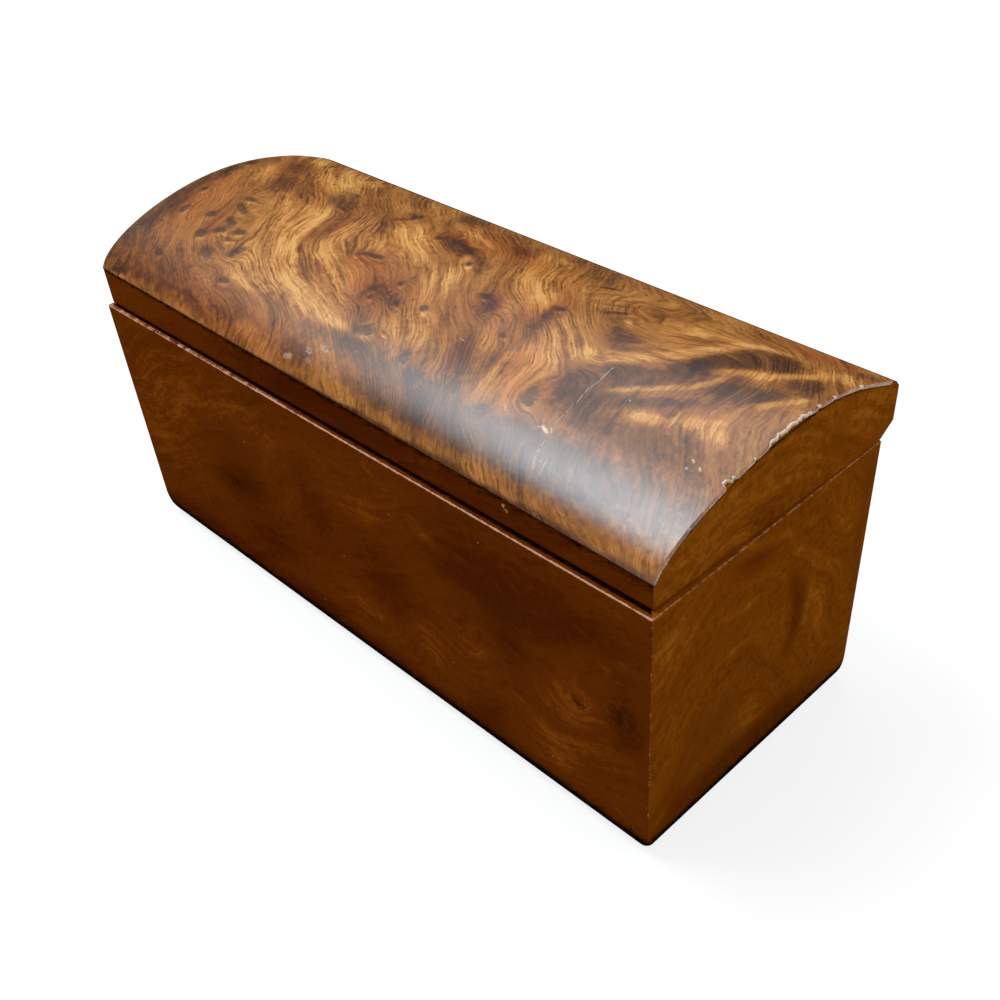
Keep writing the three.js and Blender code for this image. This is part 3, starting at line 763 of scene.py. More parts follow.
Scratch = tuple[float, float, float, float, float, float]
VENEER_SCRATCHES = (
    (158.9, 37.2, 159.3, 33.2, 0.13, 0.5), (159.6, 33.8, 159.2, 29.4, 0.09, 0.4),
    (159.0, 30.0, 159.9, 25.2, 0.11, 0.5), (159.7, 24.4, 160.0, 18.6, 0.09, 0.4),
    (158.3, 16.9, 159.9, 16.2, 0.42, 0.75), (160.2, 17.4, 160.9, 16.6, 0.16, 0.6),
    (157.2, 16.4, 158.2, 16.8, 0.14, 0.6), (161.0, 14.4, 161.7, 11.2, 0.1, 0.35),
    (161.7, 11.2, 163.2, 8.0, 0.1, 0.35), (163.2, 8.0, 163.8, 11.6, 0.08, 0.3),
    (164.4, 12.4, 165.6, 6.6, 0.1, 0.35), (169.0, 31.2, 169.3, 30.9, 0.26, 0.5),
    (190.3, 24.7, 190.8, 24.3, 0.28, 0.6), (190.4, 22.6, 190.7, 22.3, 0.24, 0.5),
    (192.7, 23.7, 193.2, 23.3, 0.26, 0.6), (122.5, 27.6, 125.0, 27.2, 0.1, 0.55),
    (84.0, 3.9, 85.4, 4.2, 0.8, 0.28), (89.2, 7.7, 90.4, 7.2, 0.8, 0.26), (92.6, 10.2, 94.5, 9.3, 0.8, 0.3),
    (91.0, 5.6, 92.0, 5.2, 0.6, 0.22), (168.4, 32.0, 168.9, 25.0, 0.08, 0.25),
    (176.4, 30.0, 178.2, 30.6, 0.1, 0.3), (41.2, 11.0, 44.2, 11.3, 0.12, 0.3),
)
FRONT_SCRATCHES = (
    (60.0, 52.0, 60.2, 51.8, 0.16, 0.8), (98.0, 33.0, 98.2, 33.0, 0.14, 0.8),
    (121.0, 58.0, 121.4, 57.8, 0.14, 0.8), (138.0, 21.0, 138.2, 21.0, 0.16, 0.8),
    (152.0, 66.0, 152.2, 65.9, 0.14, 0.8), (171.0, 12.0, 171.2, 12.0, 0.14, 0.8),
    (162.2, 180.8, 162.7, 179.8, 0.55, 1.0), (163.1, 179.2, 163.2, 179.0, 0.26, 0.9),
    (84.0, 10.0, 84.2, 10.0, 0.14, 0.7),
)


# Finishes

Socket = bpy.types.NodeSocket
Value = Socket | float | tuple


class Shader:
    """The node tree of a material or world, with short ways to add the nodes that finishes use."""

    def __init__(self, owner: bpy.types.Material | bpy.types.World) -> None:
        """Opens the node tree of a new material or world.

        Args:
            owner: The new material or world.
        """
        owner.use_nodes = True
        self.owner = owner
        self.nodes = owner.node_tree.nodes
        self.links = owner.node_tree.links
        self.surface = self.nodes.get("Principled BSDF") or self.nodes["Background"]

    def feed(self, socket: Socket, value: Value) -> None:
        """Links a socket, or sets it where the value is a plain number or colour.

        Args:
            socket: The input.
            value: An output to link, or a number or colour to set.
        """
        if isinstance(value, bpy.types.NodeSocket):
            self.links.new(value, socket)
        else:
            socket.default_value = value

    def node(self, kind: str, *values: Value, **named: Value) -> bpy.types.Node:
        """Adds a node and feeds its first sockets in order, and others by name.

        Args:
            kind: The node's type, without the beginning that all have.
            values: What its first inputs take.
            named: What other inputs take, by the input's name.

        Returns:
            The new node.
        """
        node = self.nodes.new("ShaderNode" + kind)
        for socket, value in zip(node.inputs, values):
            self.feed(socket, value)
        for name, value in named.items():
            self.feed(node.inputs[name], value)
        return node

    def set(self, **sockets: Value) -> None:
        """Sets or links sockets of the surface, with _ for a space in a socket's name."""
        for name, value in sockets.items():
            self.feed(self.surface.inputs[name.replace("_", " ")], value)

    def show(self, node: bpy.types.Node) -> None:
        """Shows another shader than the standard surface, which goes."""
        self.nodes.remove(self.surface)
        self.links.new(node.outputs[0], self.nodes["Material Output"].inputs["Surface"])

    def math(self, operation: str, *values: Value, clamp: bool = False) -> Socket:
        """One Math node on one to three values.

        Args:
            operation: What the node does.
            values: The values that it takes.
            clamp: Whether the result is held between 0 and 1.

        Returns:
            The result.
        """
        node = self.node("Math", *values)
        node.operation = operation
        node.use_clamp = clamp
        return node.outputs[0]

    def add(self, *values: Value) -> Socket:
        """The sum of two or more values.

        Args:
            values: The values.

        Returns:
            Their sum.
        """
        total = values[0]
        for value in values[1:]:
            total = self.math("ADD", total, value)
        return total

    def held(self, value: Value) -> Socket:
        """The value, held between 0 and 1."""
        return self.math("ADD", value, 0.0, clamp=True)

    def scaled(self, value: Value, factor: float, shift: float = 0.0) -> Socket:
        """The value times a factor plus a shift."""
        return self.math("MULTIPLY_ADD", value, factor, shift)

    def swing(self, value: Value, factor: float) -> Socket:
        """Noise of 0 to 1 turned into a swing round zero."""
        return self.scaled(value, factor, -factor / 2)

    def attribute(self, name: str) -> Socket:
        """A point attribute of the piece.

        Args:
            name: The attribute's name.

        Returns:
            Its value.
        """
        node = self.node("Attribute")
        node.attribute_name = name
        return node.outputs["Fac"]

    def place(self, along: float = 1) -> Socket:
        """Object coordinates in millimetres, X scaled by a factor that stretches what is along it."""
        coordinates = self.node("TexCoord").outputs["Object"]
        return self.node("Mapping", Vector=coordinates, Scale=(along / MM, 1 / MM, 1 / MM)).outputs[0]

    def join(self, *values: Value) -> Socket:
        """A vector of three values."""
        return self.node("CombineXYZ", *values).outputs[0]

    def noise(self, vector: Socket, scale: float, detail: float = 3, roughness: float = 0.5) -> Socket:
        """Smooth noise from 0 to 1 with about `scale` swells per millimetre."""
        node = self.node("TexNoise", Vector=vector, Scale=scale, Detail=detail, Roughness=roughness)
        return node.outputs["Fac"]

    def remap(self, value: Value, low: float, high: float, to_low: float = 0, to_high: float = 1) -> Socket:
        """Carries low..high smoothly to to_low..to_high and holds the ends.

        Args:
            value: What is carried over.
            low: Where the rise begins.
            high: Where it ends, which may lie below.
            to_low: The result at low and before.
            to_high: The result at high and beyond.

        Returns:
            The carried value.
        """
        node = self.node("MapRange", value, low, high, to_low, to_high)
        node.interpolation_type = "SMOOTHSTEP"
        return node.outputs[0]

    def ramp(self, share: Socket, tones: Ramp) -> Socket:
        """A colour that runs through the given tones.

        Args:
            share: Where to look on the ramp, from 0 to 1.
            tones: Places on the ramp and the tone at each.

        Returns:
            The colour there.
        """
        node = self.node("ValToRGB", share)
        band = node.color_ramp
        while len(band.elements) < len(tones):
            band.elements.new(0.5)
        for element, (position, tone) in zip(band.elements, tones):
            element.position = position
            element.color = linear(tone)
        return node.outputs[0]

    def blend(self, share: Value, first: Value, second: Value, mode: str = "MIX") -> Socket:
        """Two colours blended by a share.

        Args:
            share: How much of the second colour.
            first: The first colour.
            second: The second colour.
            mode: How the second is laid over the first.

        Returns:
            The blended colour.
        """
        node = self.node("Mix", share)
        node.data_type = "RGBA"
        node.blend_type = mode
        node.clamp_factor = True
        self.feed(node.inputs[6], first)
        self.feed(node.inputs[7], second)
        return node.outputs[2]

    def tinted(self, share: Value, colour: Socket, tint: Colour) -> Socket:
        """A colour multiplied by a tint as far as the share says."""
        return self.blend(share, colour, self.blend(1.0, colour, tint, "MULTIPLY"))

    def relief(self, height: Socket, depth: float) -> None:
        """Bumps the surface by a height from 0 to 1, `depth` millimetres deep."""
        self.set(Normal=self.node("Bump", Distance=depth * MM, Height=height).outputs[0])

    def seen(self) -> Socket:
        """Tells rays from the eye, a mirror or through glass from light that bounces.

        Returns:
            One for the first three, and zero for the last.
        """
        rays = self.node("LightPath").outputs
        either = self.math("MAXIMUM", rays["Is Camera Ray"], rays["Is Glossy Ray"])
        return self.math("MAXIMUM", either, rays["Is Transmission Ray"])

    def scratched(self, scratches: tuple[Scratch, ...]) -> Socket:
        """How strongly the nearest scratch covers a place on the face.

        The place's nearest point on a scratch from A to B is A + (B - A) times the share
        (P - A)(B - A) / |B - A|^2, held between 0 and 1.

        Args:
            scratches: The scratches on this face.

        Returns:
            Zero clear of them all, up to a scratch's strength on it.
        """
        face = self.attribute("along"), self.attribute("way")
        cover = 0.0
        for start_u, start_v, end_u, end_v, width, strength in scratches:
            run = end_u - start_u, end_v - start_v
            square = run[0] ** 2 + run[1] ** 2
            off = [self.scaled(part, 1, -start) for part, start in zip(face, (start_u, start_v))]
            share = self.held(self.add(*(self.scaled(part, step / square) for part, step in zip(off, run))))
            away = [self.math("SUBTRACT", part, self.scaled(share, step)) for part, step in zip(off, run)]
            away = self.math("SQRT", self.add(*(self.math("POWER", part, 2.0) for part in away)))
            cover = self.math("MAXIMUM", cover, self.remap(away, width * 1.3, width * 0.4, 0, strength))
        return cover


@dataclass(frozen=True)
class Strands:
    """Noise drawn out along the growth lines: swells per millimetre across and along them."""

    across: float
    along: float
    detail: float
    roughness: float


STRANDS = {
    "fibre": Strands(2.1, 0.11, 5, 0.62),
    "band": Strands(0.5, 0.05, 3, 0.55),
    "streak": Strands(0.17, 0.02, 2, 0.5),
    "vein": Strands(0.85, 0.04, 4, 0.6),
}


@dataclass(frozen=True)
class BurlFinish:
    """Lacquered burl: growth lines, fibres, streaks, dark eyes and clouds that follow the figure."""

    name: str
    tones: Ramp
    cloud_tint: Colour
    eye_tone: Tone
    heart_tone: Tone
    # Pale colour of chips, abrasion and scratches, also used for painted highlights
    worn_and_glint_tone: Tone
    scratches: tuple[Scratch, ...] = ()
    rust_tint: Colour = (0.92, 0.66, 0.54, 1.0)
    # Colour of the painted shade
    painted_shade_tone: Tone = (66, 26, 7)
    line_pitch: float = 0.98
    line_depth: float = 0.15
    base_tone: float = 0.56
    streak_swing: float = 0.7
    band_swing: float = 0.65
    fibre_swing: float = 1.0
    mottle_swing: float = 0.5
    grit_swing: float = 0.22
    vein_drop: float = 0.13
    break_up: float = 1.0
    softness: float = 1.0
    gold_lift: float = 0.26
    cloud_drop: float = 0.27
    eye_glint_lift: float = 0.26
    eye_cover: float = 0.86
    fleck_lift: float = 0.0
    fleck_tilt: float = -22
    fleck_along: float = 0.13
    fleck_across: float = 0.5
    gloss: float = 0.82
    roughness: float = 0.33
    roughness_swing: float = 0.14
    relief_depth: float = 0.017

    def noises(self, s: Shader, place: Socket) -> dict[str, Socket]:
        """The noises that break up the finish, with the stirred growth height among them.

        Args:
            s: The shader that the nodes go into.
            place: Object coordinates in millimetres.

        Returns:
            Each noise by its name.
        """
        swirl, ripple = s.noise(place, 0.16, 4, 0.55), s.noise(place, 0.9, 3)
        growth = s.add(s.attribute("growth"), s.swing(swirl, 2.0), s.swing(ripple, 0.4))
        x, y, z = s.node("SeparateXYZ", place).outputs[:3]
        side = s.add(y, z)
        mottle, grit = s.noise(place, 0.5, 8, 0.66), s.noise(place, 3.4, 3, 0.6)
        found = {"growth": growth, "mottle": mottle, "grit": grit}
        for name, strand in STRANDS.items():
            drawn = s.scaled(growth, strand.across), *(s.scaled(part, strand.along) for part in (x, side))
            drawn = s.join(*drawn)
            found[name] = s.noise(drawn, 1.0, strand.detail, strand.roughness)
        return found

    def material(self) -> bpy.types.Material:
        """Builds the nodes of the finish.

        The growth height is stirred by two noises. Its sine gives the thin growth lines, and
        noise stretched along its contours gives fibres, bands and broad streaks. Their sum,
        lifted by gold and by a painted highlight at the lower right of each eye and lowered by
        clouds, picks a tone from the ramp. Clouds tint it too, and eyes, painted shade and pale
        abraded places with painted highlights on the arrises cover it.

        Returns:
            The finished material.
        """
        s = Shader(bpy.data.materials.new(self.name))
        place = s.place()
        noises = self.noises(s, place)

        def frayed(name: str, low: float, high: float, extra: Value = 0.0, **swings: float) -> Socket:
            """A point attribute that comes in from low to high, its edge frayed by swings of noise."""
            parts = [s.swing(noises[noise], factor) for noise, factor in swings.items()]
            return s.remap(s.add(s.attribute(name), extra, *parts), low, high)

        def lit(scale: float, low: float, high: float, least: float) -> Socket:
            """Broad patches from a least share to one."""
            return s.remap(s.noise(place, scale, 2), low, high, least, 1.0)

        lines = s.math("SINE", s.scaled(noises["growth"], math.tau / self.line_pitch))
        lines = s.math("POWER", s.scaled(lines, 0.5, 0.5), 2.0)
        lines = s.math("MULTIPLY", lines, lit(0.07, 0.4, 0.58, 0.2))
        loose, soft = self.break_up, self.softness
        gold = frayed(
            "gold", 0.5 - 0.24 * soft, 0.5 + 0.24 * soft,
            mottle=0.7 * loose, fibre=0.8 * loose, band=1.4 * loose,
        )
        cloud = frayed(
            "cloud", 0.48 - 0.18 * soft, 0.48 + 0.15 * soft, s.scaled(s.attribute("gold"), -0.3),
            mottle=1.3 * loose, fibre=1.0 * loose, band=1.3 * loose,
        )
        flecks = s.math("MULTIPLY", self.flecks(s, place), lit(0.06, 0.4, 0.56, 0.25))
        tone = s.add(
            self.base_tone,
            s.swing(noises["streak"], self.streak_swing),
            s.swing(noises["band"], self.band_swing),
            s.swing(noises["fibre"], self.fibre_swing),
            s.swing(noises["mottle"], self.mottle_swing),
            s.swing(noises["grit"], self.grit_swing),
            s.scaled(gold, self.gold_lift),
            s.scaled(cloud, -self.cloud_drop),
            s.scaled(lines, -self.line_depth),
            s.scaled(s.remap(noises["vein"], 0.56, 0.68), -self.vein_drop),
            # Painted highlight: lightens the lower right of each eye
            s.scaled(frayed("rim", 0.3, 0.9, fibre=1.0, mottle=0.8), self.eye_glint_lift),
            s.scaled(flecks, self.fleck_lift),
        )
        heart = frayed("eye", 0.72, 1.15, band=0.8, mottle=1.0)
        knot = s.blend(heart, linear(self.eye_tone), linear(self.heart_tone))
        eye = s.scaled(frayed("eye", 0.12, 0.8, mottle=1.5, fibre=1.0), self.eye_cover)
        colour = s.tinted(cloud, s.ramp(s.held(tone), self.tones), self.cloud_tint)
        colour = s.tinted(frayed("rust", 0.15, 0.9, mottle=1.2, band=0.8), colour, self.rust_tint)
        colour = s.blend(eye, colour, knot)
        # Painted shade: darkens the feet, the rim under the lid, the crease and the veneer's foot
        colour = s.blend(frayed("stain", 0.1, 1.0, fibre=1.4, mottle=1.0), colour, linear(self.painted_shade_tone))
        # Pale colour over chips and abrasion, and over painted highlights along the arrises and a painted
        # reflection on the front rim's top
        colour = s.blend(frayed("worn", 0.35, 0.7, mottle=1.6, grit=0.8), colour, linear(self.worn_and_glint_tone))
        if self.scratches:
            cover = s.math("MULTIPLY", s.scratched(self.scratches), lit(1.3, 0.36, 0.5, 0.0))
            colour = s.blend(cover, colour, linear(self.worn_and_glint_tone))
        rough = s.add(noises["grit"], noises["mottle"])
        rough = s.scaled(rough, self.roughness_swing, self.roughness - self.roughness_swing)
        s.set(Base_Color=colour, Roughness=rough, Specular_IOR_Level=self.gloss)
        grain = s.scaled(noises["fibre"], 0.5), s.scaled(noises["grit"], 0.35)
        s.relief(s.add(*grain, s.scaled(lines, -0.15)), self.relief_depth)
        return s.owner

    def flecks(self, s: Shader, place: Socket) -> Socket:
        """Short light strokes across the grain: noise stretched along a tilted line on the face.

        Args:
            s: The shader that the nodes go into.
            place: Object coordinates in millimetres.

        Returns:
            Zero between the strokes and one on them.
        """
        cos, sin = math.cos(math.radians(self.fleck_tilt)), math.sin(math.radians(self.fleck_tilt))
        along = s.add(s.attribute("along"), s.swing(s.noise(place, 0.12, 2), 9))
        way = s.add(s.attribute("way"), s.swing(s.noise(place, 0.1, 2), 12))
        first = s.scaled(s.add(s.scaled(along, cos), s.scaled(way, sin)), self.fleck_along)
        second = s.scaled(s.add(s.scaled(along, -sin), s.scaled(way, cos)), self.fleck_across)
        return s.remap(s.noise(s.join(first, second, 0.0), 1.0, 5, 0.62), 0.54, 0.72)


@dataclass(frozen=True)
class InsideFinish:
    """Bare, straight-grained wood of the inside, waxed but not lacquered."""

    name: str = "waxed_inside_wood"
    tones: Ramp = ((0.3, (104, 62, 30)), (0.5, (134, 86, 46)), (0.72, (158, 108, 62)))
    pore_tone: Tone = (66, 36, 16)
    relief_depth: float = 0.03

    def material(self) -> bpy.types.Material:
        """Long grain from noise that is stretched along X, with darker pores.

        Returns:
            The finished material.
        """
        s = Shader(bpy.data.materials.new(self.name))
        grain = s.noise(s.place(0.05), 0.7, 6, 0.62)
        broad = s.noise(s.place(0.08), 0.09, 2)
        pores = s.remap(s.noise(s.place(0.09), 2.6, 2), 0.6, 0.72)
        colour = s.ramp(s.add(s.scaled(grain, 0.6), s.scaled(broad, 0.6, -0.1)), self.tones)
        colour = s.blend(s.scaled(pores, 0.5), colour, linear(self.pore_tone))
        s.set(Base_Color=colour, Roughness=s.scaled(grain, 0.3, 0.4), Specular_IOR_Level=0.25)
        s.relief(s.add(s.scaled(pores, -0.5), s.scaled(s.noise(s.place(), 2.0), 0.3)), self.relief_depth)
        return s.owner


@dataclass(frozen=True)
class BrassFinish:
    """Old brass: bright where hands and leaves rub, brown in the pits."""

    name: str
    bright: Tone = (206, 168, 96)
    dull: Tone = (120, 88, 44)
    relief_depth: float = 0.01

    def material(self) -> bpy.types.Material:
        """Metal whose colour and roughness follow two noises, with fine brushing along X.

        Returns:
            The finished material.
        """
        s = Shader(bpy.data.materials.new(self.name))
        tarnish = s.remap(s.noise(s.place(), 0.5, 6, 0.65), 0.4, 0.66)
        brushed = s.noise(s.place(0.12), 6.0, 3)
        rough = s.add(s.scaled(tarnish, 0.22), s.scaled(brushed, 0.16, 0.2))
        colour = s.blend(tarnish, linear(self.bright), linear(self.dull))
        s.set(Base_Color=colour, Metallic=1.0, Roughness=rough)
        s.relief(brushed, self.relief_depth)
        return s.owner


BURL_VENEER = BurlFinish(
    name="burl_veneer_lacquer",
    tones=(
        (0.08, (66, 34, 14)), (0.3, (116, 66, 24)), (0.5, (155, 96, 37)),
        (0.72, (189, 126, 57)), (0.98, (223, 167, 92)),
    ),
    cloud_tint=(0.62, 0.66, 1.0, 1.0),
    eye_tone=(58, 34, 22),
    heart_tone=(104, 68, 44),
    worn_and_glint_tone=(226, 206, 178),
    line_depth=0.12,
    fibre_swing=1.12,
    eye_glint_lift=0.32,
    softness=1.4,
    scratches=VENEER_SCRATCHES,
)

FRONT_BOARD = BurlFinish(
    name="dark_board_lacquer",
    tones=((0.1, (70, 26, 3)), (0.4, (98, 43, 4)), (0.6, (112, 52, 5)), (0.9, (146, 78, 16))),
    cloud_tint=(0.7, 0.62, 0.8, 1.0),
    eye_tone=(48, 24, 4),
    heart_tone=(60, 30, 6),
    worn_and_glint_tone=(196, 150, 122),
    # Near black, for painted shade along the feet, on the rim under the lid and at the crease
    painted_shade_tone=(16, 6, 2),
    scratches=FRONT_SCRATCHES,
    line_depth=0.015,
    base_tone=0.5,
    streak_swing=0.3,
    band_swing=0.4,
    fibre_swing=0.34,
    vein_drop=0.06,
    break_up=0.8,
    softness=2.0,
    gold_lift=0.2,
    cloud_drop=0.12,
    gloss=0.0,
    fleck_lift=0.2,
)

END_BOARD = replace(
    FRONT_BOARD,
    name="amber_end_lacquer",
    tones=((0.1, (86, 38, 3)), (0.4, (122, 62, 5)), (0.6, (136, 73, 8)), (0.9, (170, 100, 28))),
    cloud_tint=(0.72, 0.64, 0.7, 1.0),
    eye_tone=(66, 30, 4),
    heart_tone=(80, 38, 6),
    worn_and_glint_tone=(178, 124, 88),
    scratches=(),
    line_pitch=1.1,
    line_depth=0.02,
    base_tone=0.48,
    streak_swing=0.45,
    mottle_swing=0.9,
    fleck_tilt=38,
)


# Boards


@dataclass(frozen=True)
class MitredBoard:
    """One side of a frame of four mitred boards: a section carried from mitre to mitre.

    The plan is the four-cornered patch between an outer and an inner edge, each given by its two
    ends. The section is a closed ring of insets from the outer edge and heights, and the outer
    upright corners are rounded by a quarter circle whose middle lies on the mitre.
    """

    outer: Array
    inner: Array
    pitch: float = 1.3
    least_rounding: float = 0.04
    arc_steps: int = 4
    stop_gap: float = 5e-5

    def length(self) -> float:
        """Length of the outer edge."""
        return float(np.linalg.norm(self.outer[1] - self.outer[0]))

    def width(self) -> float:
        """Width of the board, square to the outer edge."""
        along, across = (self.outer[1] - self.outer[0]) / self.length(), self.inner[0] - self.outer[0]
        return float(abs(along[0] * across[1] - along[1] * across[0]))

    def plan(
        self, inset: Array, radii: tuple[Array, Array], stops: list[float] | tuple[()] = ()
    ) -> tuple[Array, Array, Array]:
        """Places in plan of every section point at every station.

        The stations are even steps along the straight part, with two close ones at each stop,
        and the angles of the corner's arc at either end.

        Args:
            inset: Distance of each section point from the outer edge.
            radii: Radius of the rounding at each section point, at the board's start and end.
            stops: Distances along the board at which its section changes suddenly.

        Returns:
            X, Y, and the distance along the board, each as stations by section points.
        """
        near = [stop / self.length() + gap for stop in stops for gap in (-self.stop_gap, self.stop_gap)]
        straight = np.linspace(0, 1, max(2, round(self.length() / self.pitch)))
        straight = np.unique(np.concatenate([straight, near]))
        arc = np.linspace(0, math.pi / 4, self.arc_steps + 1)[1:]
        angle = np.concatenate([-arc[::-1], np.zeros(len(straight)), arc])[:, None]
        shares = np.concatenate([np.zeros(len(arc)), straight, np.ones(len(arc))])[:, None]
        first, last = (np.maximum(radius, self.least_rounding)[None, :] for radius in radii)
        radius = np.where(angle < 0, first, last)
        turn = np.abs(angle)
        corner = radius * (np.cos(turn) - np.sin(turn)) / self.length()
        level = mix(first / self.length(), 1 - last / self.length(), shares)
        p = np.where(angle < 0, corner, np.where(angle > 0, 1 - corner, level))
        q = (inset[None, :] + radius * (1 - np.cos(turn)))[..., None] / self.width()
        place = mix(*(mix(self.outer[end], self.inner[end], q) for end in (0, 1)), p[..., None])
        return place[..., 0], place[..., 1], p * self.length()


def rectangle(left: float, front: float, right: float, back: float) -> Array:
    """The corners of a rectangle in plan, anticlockwise from the left front."""
    return np.array([[left, front], [right, front], [right, back], [left, back]])


def frame_sides(outer: Array, inner: Array) -> dict[Side, MitredBoard]:
    """The four boards of a frame, from its corners anticlockwise from the left front."""
    pairs = {side: [side.value, (side.value + 1) % 4] for side in Side}
    return {side: MitredBoard(outer[pair], inner[pair]) for side, pair in pairs.items()}


def near_face(inset: Array) -> Array:
    """One on a board's outer face, easing to zero a little inside it."""
    return ease(-inset, -1.2, -0.4)


@dataclass(frozen=True)
class HingeRecess:
    """The room that a hinge takes out of the boards above and below the seam."""

    places: tuple[float, float] = (-58, 58)
    half_length: float = 12.75
    reach: float = 7.25
    depth: float = 1.05
    barrel: float = 1.85
    axis_y: float = 39.65

    def plan(
        self, board: MitredBoard, insets: tuple[Array, Array], radii: tuple[Array, Array]
    ) -> tuple[Array, Array, Array, Array]:
        """Places in plan of a back board whose section changes where the hinges are let in.

        Args:
            board: The board, which runs from the right to the left.
            insets: Insets of the plain section and of the one with the recess.
            radii: Radius of the rounding at each section point, at the board's start and end.

        Returns:
            X, Y and the distance along the board, and one within a recess and zero elsewhere.
        """
        edges = [place + side * self.half_length for place in self.places for side in (-1, 1)]
        stops = sorted(board.outer[0, 0] - edge for edge in edges)
        x, y, along = board.plan(insets[0], radii, stops)
        x_in, y_in, _ = board.plan(insets[1], radii, stops)
        away = np.min([np.abs(x.mean(1, keepdims=True) - place) for place in self.places], axis=0)
        cut = (away < self.half_length).astype(float)
        return mix(x, x_in, cut), mix(y, y_in, cut), along, cut


RECESS = HingeRecess()
FIGURES = {Slot.BOARD: FRONT_FIGURE, Slot.END: END_FIGURE}
BASE_BOARDS = {
    Side.FRONT: Piece("front_board", "front_wall", Body.BASE, Slot.BOARD),
    Side.RIGHT: Piece("right_end_board", "right_end_wall", Body.BASE, Slot.END),
    Side.BACK: Piece("back_board", "back_wall", Body.BASE, Slot.BOARD),
    Side.LEFT: Piece("left_end_board", "left_end_wall", Body.BASE, Slot.END),
}
LID_BOARDS = {
    Side.FRONT: Piece("lid_front_board", "lid_front_rail", Body.LID, Slot.BOARD),
    Side.RIGHT: Piece("lid_right_board", "lid_right_end", Body.LID, Slot.END),
    Side.LEFT: Piece("lid_left_board", "lid_left_end", Body.LID, Slot.END),
    Side.BACK: Piece("lid_back_board", "lid_back_rail", Body.LID, Slot.BOARD),
}
DOME_LINING = Piece("dome_lining", "dome_panel", Body.LID, Slot.INSIDE)
VENEER = Piece("burl_veneer", "dome_veneer", Body.LID, Slot.BURL)


